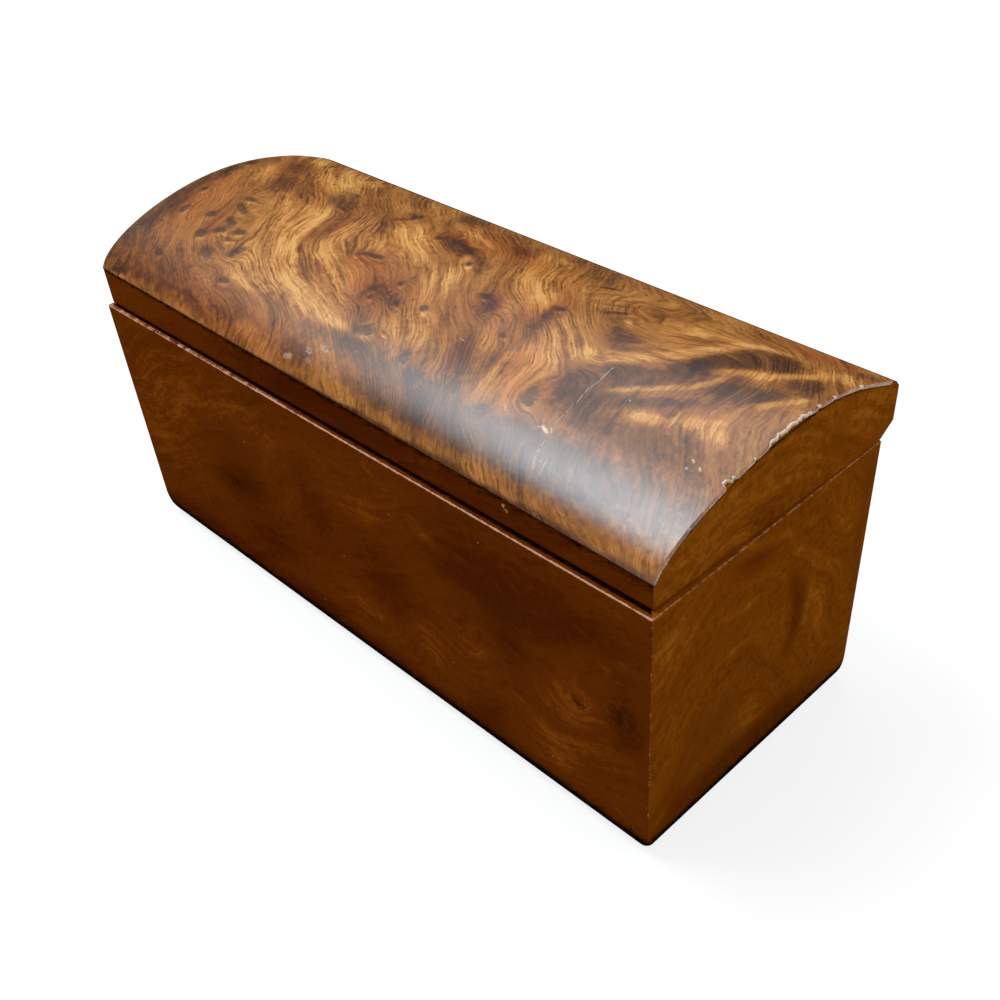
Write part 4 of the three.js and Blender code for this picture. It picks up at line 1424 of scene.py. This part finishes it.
@dataclass(frozen=True)
class BoxBase:
    """The box's base: four mitred boards round a bottom panel."""

    length: float = 200
    depth: float = 77.3
    height: float = 72.6
    wall: float = 8
    rounding: float = 4.2
    arris: float = 0.45
    bottom: float = 5
    rebate: float = 2.5
    foot_corners: tuple[float, float, float, float] = (3.9, 2.0, 2.4, 3.6)
    foot_reach: float = 7
    hidden_shift: float = 7
    # Pale lines, partly abrasion and partly painted highlight, on the rim's outer arris and the upright
    # corners; the front line brightens towards the right
    rub_glint_place: float = 0.15
    rub_glint_width: float = 0.23
    corner_rub_glint: float = 0.36
    corner_width: float = 0.32
    corner_rise: Span = (4, 12)
    front_rub_glint: Span = (0.72, 0.95)
    front_rub_glint_rise: Span = (30, 90)
    other_rub_glint: float = 0.62
    # Painted reflection on the front rim's top, fading towards the right
    top_glint: float = 0.5
    top_glint_fall: Span = (50, 125)
    top_glint_edge: Span = (0.8, 1.25)
    # Painted shade along the foot, standing in for the contact shadow, in a dark and a dusky step
    foot_dusk: Span = (-12, -5)
    foot_dark: Span = (-6.6, -3.8)
    dusk_share: float = 0.15
    # Painted shade on the rim's top in the lid's shadow, full on the front and weaker on the other sides
    lid_shade: Span = (1.05, 1.35)
    shade_fall: Span = (2.4, 4.2)
    shade_lost: float = 0.62
    other_shade: float = 0.4

    def sides(self) -> dict[Side, MitredBoard]:
        """The plans of the four boards.

        Returns:
            A board for each side.
        """
        x, y = self.length / 2, self.depth / 2
        x_in, y_in = x - self.wall, y - self.wall
        return frame_sides(rectangle(-x, -y, x, y), rectangle(-x_in, -y_in, x_in, y_in))

    def section(self) -> tuple[Array, Array, Array]:
        """The boards' section, from the rebate out under the foot, up the face and in over the rim.

        Returns:
            Insets and heights of the plain section, the same where a hinge is let in, and how
            much of the arris's and of the foot's rounding each point takes at a corner.
        """
        foot_in, foot_up = rounding(9)
        rim_up, rim_in = rounding(5)
        face = np.linspace(self.rounding, self.height - self.arris, 54)[1:-1]
        sunk = [0.9, 1.3, 1.7, 2.4, 4.2, 6.25]
        inside = [self.wall, self.wall - self.rebate, self.wall - self.rebate]
        inset, at = ring_of(
            foot=self.rounding * foot_in, face=0 * face, rim=self.arris * rim_in, sunk=sunk,
            flat=[6.3, self.wall - 0.3, self.wall - 0.09, self.wall], inside=inside,
        )
        up, _ = ring_of(
            foot=self.rounding * foot_up, face=face, rim=self.height - self.arris * rim_up,
            sunk=np.full(len(sunk), self.height), flat=self.height - np.array([0, 0, 0.09, 0.3]),
            inside=[self.bottom, self.bottom, 0],
        )
        swell = np.where(inset < self.rounding + 0.1, ease(-up, -self.foot_reach, 0), 0)
        arris = np.where(up < self.rounding, 1, near_face(inset))
        out = RECESS.axis_y - self.depth / 2
        high, low = math.acos(out / RECESS.barrel), math.asin(RECESS.depth / RECESS.barrel)
        swing = np.linspace(high, low, len(rim_in))
        cut_in, cut_up = inset.copy(), up.copy()
        cut_in[at["rim"]] = RECESS.barrel * np.cos(swing) - out
        cut_up[at["rim"]] = self.height - RECESS.barrel * np.sin(swing)
        cut_in[at["sunk"]] = np.linspace(sunk[0], RECESS.reach - out, len(sunk))
        cut_up[at["sunk"]] = self.height - RECESS.depth
        return np.stack([inset, up]), np.stack([cut_in, cut_up]), np.stack([arris, swell])

    def board(self, side: Side, plan: MitredBoard) -> tuple[Array, dict[str, Array]]:
        """Points of one board and the place of each on its face.

        Args:
            side: Which side of the box it stands on.
            plan: The board's plan.

        Returns:
            The points, and arrays for the distance along, the way up the section, inset and height.
        """
        plain, let_in, shares = self.section()
        corners = self.foot_corners[side.value], self.foot_corners[(side.value + 1) % 4]
        radii = tuple(self.arris * shares[0] + corner * shares[1] for corner in corners)
        if side is Side.BACK:
            x, y, along, cut = RECESS.plan(plan, (plain[0], let_in[0]), radii)
            up = mix(plain[1], let_in[1], cut)
        else:
            x, y, along = plan.plan(plain[0], radii)
            up = np.broadcast_to(plain[1], x.shape)
        steps = np.linalg.norm(np.diff(plain, axis=1), axis=0)
        way = np.concatenate([[0], np.cumsum(steps)]) - self.rounding * (math.pi / 2 - 1)
        way, inset = np.broadcast_to(way, x.shape), np.broadcast_to(plain[0], x.shape)
        return np.stack([x, y, up], -1), {"along": along, "way": way, "inset": inset, "up": up}

    def wear_and_glint(self, side: Side, grid: dict[str, Array]) -> Array:
        """How pale each point is painted: abrasion and painted highlights along the rim's outer arris and
        the upright corners, and a painted reflection on the front rim's top.

        Args:
            side: Which side of the box the board stands on.
            grid: The place of each point on the board.

        Returns:
            How strongly abrasion and painted highlight cover each point, from 0 to 1.
        """
        along, inset, up = grid["along"], grid["inset"], grid["up"]
        is_front = side is Side.FRONT
        from_rim = np.hypot(inset - self.rub_glint_place, self.height - self.rub_glint_place - up)
        # Painted highlight and abrasion along the arris, brighter to the right on the front
        rub = mix(*self.front_rub_glint, ease(along, *self.front_rub_glint_rise)) if is_front else self.other_rub_glint
        from_end = np.minimum(along, along.max() - along)
        on_face = ease(-inset, -0.6, -0.3) * ease(up, *self.corner_rise)
        upright = self.corner_rub_glint * bell(from_end, self.corner_width) * on_face
        # Painted reflection on the front rim's top
        on_top = ease(up, self.height - 0.1, self.height) * (1 - ease(inset, *self.top_glint_edge))
        top = self.top_glint * on_top * (1 - ease(along, *self.top_glint_fall)) * is_front
        return np.maximum(np.maximum(rub * bell(from_rim, self.rub_glint_width), upright), top)

    def stain(self, side: Side, grid: dict[str, Array]) -> Array:
        """Painted shade: darker along the foot, where the floor's contact shadow falls, and on the rim in
        the shade of the lid.

        Args:
            side: Which side of the box the board stands on.
            grid: The place of each point on the board.

        Returns:
            How much painted shade each point takes, from 0 to 1.
        """
        inset, up = grid["inset"], grid["up"]
        # Painted shade: the foot and the rim under the lid
        foot = mix(ease(-up, *self.foot_dark), ease(-up, *self.foot_dusk), self.dusk_share)
        on_top = ease(up, self.height - 0.1, self.height)
        shaded = ease(inset, *self.lid_shade) * (1 - self.shade_lost * ease(inset, *self.shade_fall))
        return np.maximum(foot, on_top * shaded * (1.0 if side is Side.FRONT else self.other_shade))

    def build(self, finishes: Finishes) -> None:
        """Makes and dresses the four boards, and gives the bottom panel its finish.

        Args:
            finishes: The finish of every slot.
        """
        for side, plan in self.sides().items():
            piece = BASE_BOARDS[side]
            points, grid = self.board(side, plan)
            shift = self.hidden_shift if side in (Side.BACK, Side.LEFT) else 0
            values = FIGURES[piece.slot].values(grid["along"] + shift, grid["way"] - shift)
            values |= {"worn": self.wear_and_glint(side, grid), "stain": self.stain(side, grid)}
            piece.make(points, values, finishes)
        refinish("bottom_panel", finishes[Slot.INSIDE])


@dataclass(frozen=True)
class BoxLid:
    """The lid: four mitred boards, the panel that they hold and the burl veneer over all.

    In every method Y counts from the lid's front and Z from the seam, as in the dome's shape. A
    figure shift says how far along and up the figure a side's board is cut, and how far its
    scratches lie above those of the base.
    """

    dome: DomeShape = DomeShape()
    inner_x: float = 92
    inner_front: float = 6.15
    inner_back: float = 67.45
    panel: float = 5
    arris: float = 0.45
    seam_left: float = 0.35
    seam_right: float = 0.8
    under_gap: float = 0.03
    band_way: float = 9
    crease_gap: float = 0.05
    # A dark line at the crease and under the veneer's edge at the ends: the joint, deepened as painted
    # shade
    crease_dark: Span = (0.95, 0.6)
    crease_dark_width: Span = (0.8, 2.2)
    end_dark: float = 0.75
    end_dark_width: float = 0.3
    chip_list: tuple[tuple[float, float, float], ...] = (
        (23.4, 1.0, 1.1), (25.0, 0.5, 0.5), (36.4, 0.9, 0.5), (38.6, 0.5, 0.75), (42.3, 1.2, 0.6),
        (45.3, 0.6, 0.7), (50.4, 0.7, 0.3), (56.0, 0.6, 0.3), (66.5, 0.6, 0.25), (12.0, 0.4, 0.15),
        (31.0, 0.5, 0.2),
    )
    frayed_start: Span = (34, 36.5)
    frayed_end: Span = (45.5, 49)
    frayed_least: float = 0.03
    saw_waves: tuple[tuple[float, float, float, float], ...] = ((0.26, 2.1, 0, 1), (0.24, 3.7, 1.1, 0.6))
    chip_slope: float = 0.55
    veneer_arris: float = 0.24
    veneer_belly: float = 0.5
    chipped_width: float = 2.4
    chip_run: float = 2.2
    # The veneer's pale right arris: chips and abrasion, with a painted highlight all along it
    rubbed_glint_width: Span = (0.08, 0.42)
    rubbed_more: float = 0.08
    rubbed_rise: Span = (52, 58)
    glint_least: float = 0.36
    worn_by_chip: float = 1.6
    # Painted shade on the veneer's foot along the crease, up to a wavy height
    band_dark: Span = (0.85, 0.72)
    band_dark_least: float = 0.5
    band_dark_share: Span = (0.35, 0.7)
    dark_mean: float = 1.6
    dark_least: float = 0.6
    dark_waves: tuple[tuple[float, float, float], ...] = ((0.8, 46, 0), (0.6, 113, 1))
    dark_factor: float = 1.1
    dark_shift: float = 0.4

    def sides(self) -> dict[Side, MitredBoard]:
        """The plans of the four boards.

        Returns:
            A board for each side.
        """
        dome = self.dome
        outer = rectangle(dome.left_x, 0, dome.right_back_x, dome.depth)
        outer[1, 0] = dome.right_front_x
        return frame_sides(outer, rectangle(-self.inner_x, self.inner_front, self.inner_x, self.inner_back))

    def under_veneer(self, x: Array, y: Array) -> Array:
        """Height of what the veneer lies on."""
        return self.dome.height(x, y, self.dome.veneer) - self.under_gap

    def front_rail(self, plan: MitredBoard) -> tuple[Array, dict[str, Array]]:
        """The front board: its band stands upright up to the crease, and its foot is eased.

        Args:
            plan: The board's plan.

        Returns:
            The points, and arrays for the distance along, the way up the figure and the painted shade at
            the crease.
        """
        foot_in, foot_up = rounding(5)
        face = np.linspace(0, 1, 12)[1:]
        top = [0.85, 1.6, 2.6, 4.0, 5.2, self.inner_front]
        inset, at = ring_of(under=[self.inner_front, 3.0], foot=foot_in, face=0 * face, top=top)
        x, y, along = plan.plan(inset, (self.arris * near_face(inset),) * 2)
        eased = mix(self.seam_left, self.seam_right, along / plan.length())
        y[:, at["foot"]] += (foot_in * (eased[:, at["foot"]] - 1)) * (foot_in > 0)
        crease = self.dome.height(x, np.zeros_like(x), 0.0)
        lift = np.zeros_like(x)
        lift[:, at["foot"]] = foot_up * eased[:, at["foot"]]
        lift[:, at["face"]] = mix(eased[:, at["face"]], crease[:, at["face"]] - self.crease_gap, face)
        lift[:, at["top"]] = self.under_veneer(x, y)[:, at["top"]]
        above = np.full(len(top), self.band_way + 0.5)
        way, _ = ring_of(under=[0, 0], foot=0 * foot_in, face=face * self.band_way, top=above)
        share = along / FRONT_FIGURE.width
        # A dark line at the crease under the veneer's edge: the joint, deepened as painted shade
        dark = mix(*self.crease_dark, share) * bell(crease - lift, mix(*self.crease_dark_width, share))
        grid = {"along": along, "way": np.broadcast_to(way, x.shape), "stain": dark}
        return self.dome.finish(x, y, lift), grid

    def end_board(self, plan: MitredBoard) -> tuple[Array, dict[str, Array]]:
        """An end board: its face rises to the underside of the veneer, and its foot is eased.

        Args:
            plan: The board's plan.

        Returns:
            The points, and arrays for the distance along, the way up the figure and the painted shade under
            the veneer's edge.
        """
        foot_in, foot_up = (self.seam_left * part for part in rounding(4))
        face = np.linspace(0, 1, 18)[1:]
        top = [0.3, 0.7, 1.2, 2.0, 4.0, plan.width()]
        inset, at = ring_of(under=[plan.width(), 3.0], foot=foot_in, face=0 * face, top=top)
        x, y, along = plan.plan(inset, (self.arris * near_face(inset),) * 2)
        high = self.dome.height(x, y, self.dome.veneer)
        rise, share = np.zeros(len(inset)), np.ones(len(inset))
        rise[at["foot"]] = foot_up
        share[: at["face"].start] = 0
        share[at["face"]] = face
        lift = mix(self.dome.bevel(y) + np.maximum(rise, self.seam_left * (share > 0)), high, share)
        # A dark line on the face just under the veneer's edge: the joint, deepened as painted shade
        dark = self.end_dark * bell(high - lift, self.end_dark_width) * (inset < 0.1)
        return self.dome.finish(x, y, lift), {"along": along, "way": lift, "stain": dark}

    def back_rail(self, plan: MitredBoard) -> tuple[Array, dict[str, Array]]:
        """The back board: a rounded top corner, a bevelled foot and two hinge recesses.

        The barrel's room is an arc round the axis. It ends on the bevel, at the angle t where
        barrel * sin(t - bevel angle) = (axis - bevel's start) * sin(bevel angle).

        Args:
            plan: The board's plan.

        Returns:
            The points, and arrays for the distance along, the way up the figure and the painted shade,
            which is none here.
        """
        dome = self.dome
        axis = RECESS.axis_y - dome.front_y
        first = math.pi - math.asin(RECESS.depth / RECESS.barrel)
        offset = (axis - dome.bevel_start) * math.sin(dome.bevel_angle)
        swing = np.linspace(first, dome.bevel_angle + math.asin(offset / RECESS.barrel), 5)
        flat = [self.inner_back, axis - RECESS.reach - 0.02, axis - RECESS.reach]
        lower = np.concatenate([flat, np.linspace(dome.bevel_start, dome.depth, 6)])
        cut_lower = np.concatenate([flat, axis + RECESS.barrel * np.cos(swing), [dome.depth]])
        arc_up = RECESS.barrel * np.sin(swing)
        cut_up = np.concatenate([[0, 0, RECESS.depth], arc_up, [dome.bevel(dome.depth)]])
        wall = np.linspace(0, 1, 10)[1:-1]
        left, right = (dome.back_corner(end, np.linspace(1, 0, 9)) for end in (dome.left, dome.right))
        line, at = ring_of(
            lower=lower, wall=np.full(len(wall), dome.depth), corner=left[:, 0],
            top=np.linspace(dome.veneer_end - 0.6, self.inner_back, 6),
        )
        cut_line = line.copy()
        cut_line[at["lower"]] = cut_lower
        radii = (self.arris * near_face(dome.depth - line),) * 2
        x, y, along, cut = RECESS.plan(plan, (dome.depth - line, dome.depth - cut_line), radii)
        share = np.clip((x - dome.left_x) / (dome.right_back_x - dome.left_x), 0, 1)
        sag = dome.sag(x, y)
        lift = self.under_veneer(x, y)
        lift[:, at["lower"]] = mix(dome.bevel(lower), cut_up, cut)
        foot_of_corner = (mix(left[0, 1], right[0, 1], share) - sag)[:, at["wall"]]
        lift[:, at["wall"]] = mix(dome.bevel(dome.depth), foot_of_corner, wall)
        lift[:, at["corner"]] = mix(left[:, 1], right[:, 1], share[:, at["corner"]]) - sag[:, at["corner"]]
        way = np.maximum(lift, 0) + (dome.depth - y)
        return dome.finish(x, y, lift), {"along": along, "way": way, "stain": np.zeros_like(x)}

    def boards(self, finishes: Finishes) -> None:
        """Makes and dresses the lid's four boards.

        Args:
            finishes: The finish of every slot.
        """
        shapes = {
            Side.FRONT: (self.front_rail, (3, 74, 100)), Side.RIGHT: (self.end_board, (0, 72, 0)),
            Side.LEFT: (self.end_board, (0, 72, 0)), Side.BACK: (self.back_rail, (0, 40, 0)),
        }
        plans = self.sides()
        for side, (shape, (along_shift, way_shift, scratch_shift)) in shapes.items():
            piece = LID_BOARDS[side]
            points, grid = shape(plans[side])
            values = FIGURES[piece.slot].values(grid["along"] + along_shift, grid["way"] + way_shift)
            values |= {"way": values["way"] + scratch_shift, "stain": grid["stain"]}
            piece.make(points, values, finishes)

    def lining(self, finishes: Finishes) -> None:
        """Makes the panel inside the frame: its ceiling is the dome lowered by its thickness.

        Args:
            finishes: The finish of every slot.
        """
        rows = np.linspace(self.inner_front, self.inner_back, 60)
        x, y = np.meshgrid(np.linspace(-self.inner_x, self.inner_x, 40), rows)
        lower = self.dome.height(x, y, 0.0) - self.dome.veneer - self.panel
        top, under = self.dome.finish(x, y, self.under_veneer(x, y)), self.dome.finish(x, y, lower)
        DOME_LINING.make(np.concatenate([top, under[:, ::-1]], axis=1), {}, finishes)

    def chips(self, rise: Array) -> Array:
        """How far the veneer's right edge is broken back, in millimetres, at a way up the dome.

        Each chip is a steep-sided hollow given by its place, half width and depth. The stretch
        between is frayed by the sum of waves a |sin(b rise + c)|^d, each given by a, b, c and d.

        Args:
            rise: Ways up the dome from the crease.

        Returns:
            How far the edge is broken back at each.
        """
        frayed = ease(rise, *self.frayed_start) * (1 - ease(rise, *self.frayed_end))
        saw = sum(a * np.abs(np.sin(rise * b + c)) ** d for a, b, c, d in self.saw_waves)
        broken = frayed * (self.frayed_least + saw)
        for place, half, depth in self.chip_list:
            hollow = 1 - ease(np.abs(rise - place), half * self.chip_slope, half)
            broken = np.maximum(broken, depth * hollow)
        return broken

    def veneer(self, finishes: Finishes) -> None:
        """Makes the burl veneer: a thin sheet on the ruled dome, its right arris chipped.

        Each row is a closed ring round the sheet: the top from left to right, the rounded right
        edge, the underside back again and the rounded left edge. The rows and columns lie closer
        where the lens sees the sheen and where the edge is chipped. The veneer's foot takes painted
        shade along the crease up to a wavy height, a sum of waves a sin(b share + c), each given by
        a, b and c. The right arris is pale where it is chipped and abraded, and carries a painted
        highlight all along.

        Args:
            finishes: The finish of every slot.
        """
        dome, radius = self.dome, self.veneer_arris
        length = dome.right_back_x - dome.left_x
        turns, ways = dome.ways()
        up = spaced((0, 2, 9), (2, 21.5, 34), (21.5, 63, 122), (63, ways[-1], 34))[:, None]
        fine = length - self.chipped_width
        top = spaced((radius, fine, 330), (fine, length - radius, 12))
        edge_in, edge_down = (radius * part[1:] for part in rounding(5))
        under = np.concatenate([[length], np.linspace(length, 0, 26), [0.0]])
        under_down = np.full(len(under), dome.veneer)
        under_down[[0, -1]] = self.veneer_belly
        place, _ = ring_of(top=top, right=length - edge_in, under=under, left=edge_in[::-1])
        deep, _ = ring_of(top=0 * top, right=edge_down, under=under_down, left=edge_down[::-1])
        chips = self.chips(up)
        share = (place - chips * ease(place, length - self.chip_run, length - radius)) / length
        turn, up = (np.broadcast_to(part, share.shape) for part in (np.interp(up, ways, turns), up))
        values = DOME_FIGURE.values(np.clip(share, 0, 1) * DOME_FIGURE.width, up)
        # Width of the pale arris: the chips and abrasion, and a painted highlight all along the arris
        rubbed_glint = mix(*self.rubbed_glint_width, np.clip(chips * 3, 0, 1))
        rubbed_glint = rubbed_glint + self.rubbed_more * ease(up, *self.rubbed_rise)
        from_edge = np.maximum(length - chips - share * length, 0)
        worn = np.clip(self.glint_least + chips * self.worn_by_chip, 0, 1)
        worn = worn * bell(from_edge, rubbed_glint) * (share > 0.5)
        wave = sum((a * np.sin(share * b + c) for a, b, c in self.dark_waves), self.dark_mean)
        high = self.dark_factor * np.maximum(wave, self.dark_least) + self.dark_shift
        high = mix(self.band_dark_least, high, ease(share, *self.band_dark_share))
        # Painted shade on the veneer's foot along the crease
        stain = mix(*self.band_dark, share) * (1 - ease(up, 0.1, high))
        values |= {"worn": worn, "stain": stain}
        points = dome.surface(share, turn, np.broadcast_to(deep, share.shape))
        VENEER.make(points, values, finishes, sharp=50)

    def build(self, finishes: Finishes) -> None:
        """Makes all of the lid's pieces.

        Args:
            finishes: The finish of every slot.
        """
        self.boards(finishes)
        self.lining(finishes)
        self.veneer(finishes)


class Hinges:
    """The two butt hinges and their screws, whose solids are shown in brass."""

    def build(self, finishes: Finishes) -> None:
        """Gives the leaves, pins and screws their finishes.

        Args:
            finishes: The finish of every slot.
        """
        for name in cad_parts:
            if name.startswith("hinge_"):
                refinish(name, finishes[Slot.SCREW if "screw" in name else Slot.HINGE])


# The studio


def aim(azimuth: float, elevation: float, roll: float = 0.0) -> Array:
    """Right, up and back of a camera or lamp that looks at the box.

    Args:
        azimuth: Where it stands: 0 is in front and 90 at the right, in degrees.
        elevation: Its height above the horizon, in degrees.
        roll: How far it leans, in degrees.

    Returns:
        The three directions as the columns of a matrix.
    """
    a, e, r = (math.radians(angle) for angle in (azimuth, elevation, roll))
    back = np.array([math.sin(a) * math.cos(e), -math.cos(a) * math.cos(e), math.sin(e)])
    level = np.array([math.cos(a), math.sin(a), 0])
    upright = np.cross(back, level)
    right = level * math.cos(r) + upright * math.sin(r)
    return np.column_stack([right, upright * math.cos(r) - level * math.sin(r), back])


def stand(name: str, data: bpy.types.ID, axes: Array, place: Array) -> bpy.types.Object:
    """Puts a camera or lamp into the scene, turned by its axes, at a place in millimetres.

    Args:
        name: Its name.
        data: The camera or lamp.
        axes: Its right, up and back as columns.
        place: Where it stands, in millimetres.

    Returns:
        The new object.
    """
    thing = bpy.data.objects.new(name, data)
    matrix = np.eye(4)
    matrix[:3] = np.column_stack([axes, place * MM])
    thing.matrix_world = Matrix(matrix.tolist())
    bpy.context.scene.collection.objects.link(thing)
    return thing


def grey(value: float) -> Colour:
    """A colour without hue."""
    return value, value, value, 1.0


@dataclass(frozen=True)
class Camera:
    """The camera that sees the box as the photograph does."""

    azimuth: float = 49.02
    elevation: float = 40.49
    roll: float = -5.22
    place: tuple[float, float, float] = (8.95, 0.65, 339.14)
    focal_share: float = 1.16391
    rise_share: float = 0.08
    film: float = 36
    clip: tuple[float, float] = (0.01, 50)

    def build(self) -> None:
        """Makes the camera. Its place counts along its own right, up and back."""
        lens = bpy.data.cameras.new("camera")
        lens.sensor_width = self.film
        lens.lens = self.focal_share * self.film
        lens.shift_y = self.rise_share
        lens.clip_start, lens.clip_end = self.clip
        axes = aim(self.azimuth, self.elevation, self.roll)
        bpy.context.scene.camera = stand("camera", lens, axes, axes @ np.array(self.place))


@dataclass(frozen=True)
class Lamp:
    """A soft box that faces the middle of the box: where it hangs, its size and its power in watts."""

    name: str
    azimuth: float
    elevation: float
    distance: float
    width: float
    height: float
    power: float
    tint: Tone = (0.93, 1.0, 1.05)
    target: tuple[float, float, float] = (0, 0, 60)

    def build(self) -> None:
        """Hangs the lamp, which the camera itself doesn't see."""
        light = bpy.data.lights.new(self.name, "AREA")
        light.shape = "RECTANGLE"
        light.size, light.size_y = self.width * MM, self.height * MM
        light.energy = self.power
        light.color = self.tint
        axes = aim(self.azimuth, self.elevation)
        place = axes[:, 2] * self.distance + np.array(self.target)
        stand(self.name, light, axes, place).visible_camera = False


@dataclass(frozen=True)
class Studio:
    """A pale floor, a soft lamp from the upper left, a weak one from the right and dim walls."""

    lamps: tuple[Lamp, ...] = (
        Lamp("window_lamp", -68.3, 64.5, 1300, 660, 560, 11.9),
        Lamp("fill_lamp", 100, 35, 900, 500, 500, 0.9),
        Lamp("haze_lamp", -144, 52, 1300, 700, 420, 2.0),
    )
    sky: float = 0.5
    floor_half: float = 12000
    floor_bounce: float = 0.5
    floor_shade: float = 0.22
    floor_glow: float = 0.81
    wall_span: tuple[float, float] = (-200, -10)
    wall_radii: tuple[float, float, float] = (170, 1400, 1400)
    wall_heights: tuple[float, float, float] = (1, 1100, 6000)
    wall_glow: float = 0.03

    def floor(self) -> None:
        """Lays the floor. To the eye and in reflections it is white but keeps the shadow."""
        shader = Shader(bpy.data.materials.new("pale_floor"))
        bounce = shader.node("BsdfDiffuse", Color=grey(self.floor_bounce))
        shade = shader.node("BsdfDiffuse", Color=grey(self.floor_shade))
        glow = shader.node("Emission", Color=grey(self.floor_glow))
        white = shader.node("AddShader", shade.outputs[0], glow.outputs[0])
        shader.show(shader.node("MixShader", shader.seen(), bounce.outputs[0], white.outputs[0]))
        corners = np.pad(rectangle(-1, -1, 1, 1) * self.floor_half, ((0, 0), (0, 1)))
        floor = make_mesh("floor", corners, [[0, 1, 2, 3]])
        floor.data.materials.append(shader.owner)

    def walls(self) -> None:
        """Stands a dim flared wall at the left and behind, which only reflections see."""
        turn = np.radians(np.linspace(*self.wall_span, 48))
        radius, height = np.array(self.wall_radii)[:, None], np.array(self.wall_heights)[:, None]
        rows = np.stack([np.sin(turn) * radius, -np.cos(turn) * radius, height + 0 * turn], -1)
        shader = Shader(bpy.data.materials.new("dim_studio_wall"))
        shader.show(shader.node("Emission", Color=grey(self.wall_glow)))
        wall = make_mesh("studio_wall", rows, sheet_faces(len(radius), len(turn)))
        wall.data.materials.append(shader.owner)
        wall.visible_camera = wall.visible_diffuse = wall.visible_shadow = False

    def sky_light(self) -> None:
        """Fills the world with an even light, white to the eye and in reflections."""
        shader = Shader(bpy.data.worlds.new("studio_sky"))
        strength = shader.node("MapRange", shader.seen(), 0.0, 1.0, self.sky, 1.0)
        shader.set(Color=grey(1.0), Strength=strength.outputs[0])
        bpy.context.scene.world = shader.owner

    def build(self) -> None:
        """Sets up the floor, the walls and the lights."""
        self.floor()
        self.walls()
        self.sky_light()
        for lamp in self.lamps:
            lamp.build()
        bpy.context.scene.view_settings.view_transform = "Standard"
        LOG.info("studio: floor, wall, sky and %d lamps", len(self.lamps))


def main() -> None:
    """Builds the box's looks piece by piece, then the studio round it."""
    logging.basicConfig(level=logging.INFO, format="%(message)s")
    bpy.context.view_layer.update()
    finishes = {
        Slot.BOARD: FRONT_BOARD.material(),
        Slot.END: END_BOARD.material(),
        Slot.BURL: BURL_VENEER.material(),
        Slot.INSIDE: InsideFinish().material(),
        Slot.HINGE: BrassFinish("hinge_brass_finish").material(),
        Slot.SCREW: BrassFinish("screw_brass_finish", bright=(214, 180, 110)).material(),
    }
    Camera().build()
    BoxBase().build(finishes)
    BoxLid().build(finishes)
    Hinges().build(finishes)
    Studio().build()


if __name__ == "__main__":
    main()
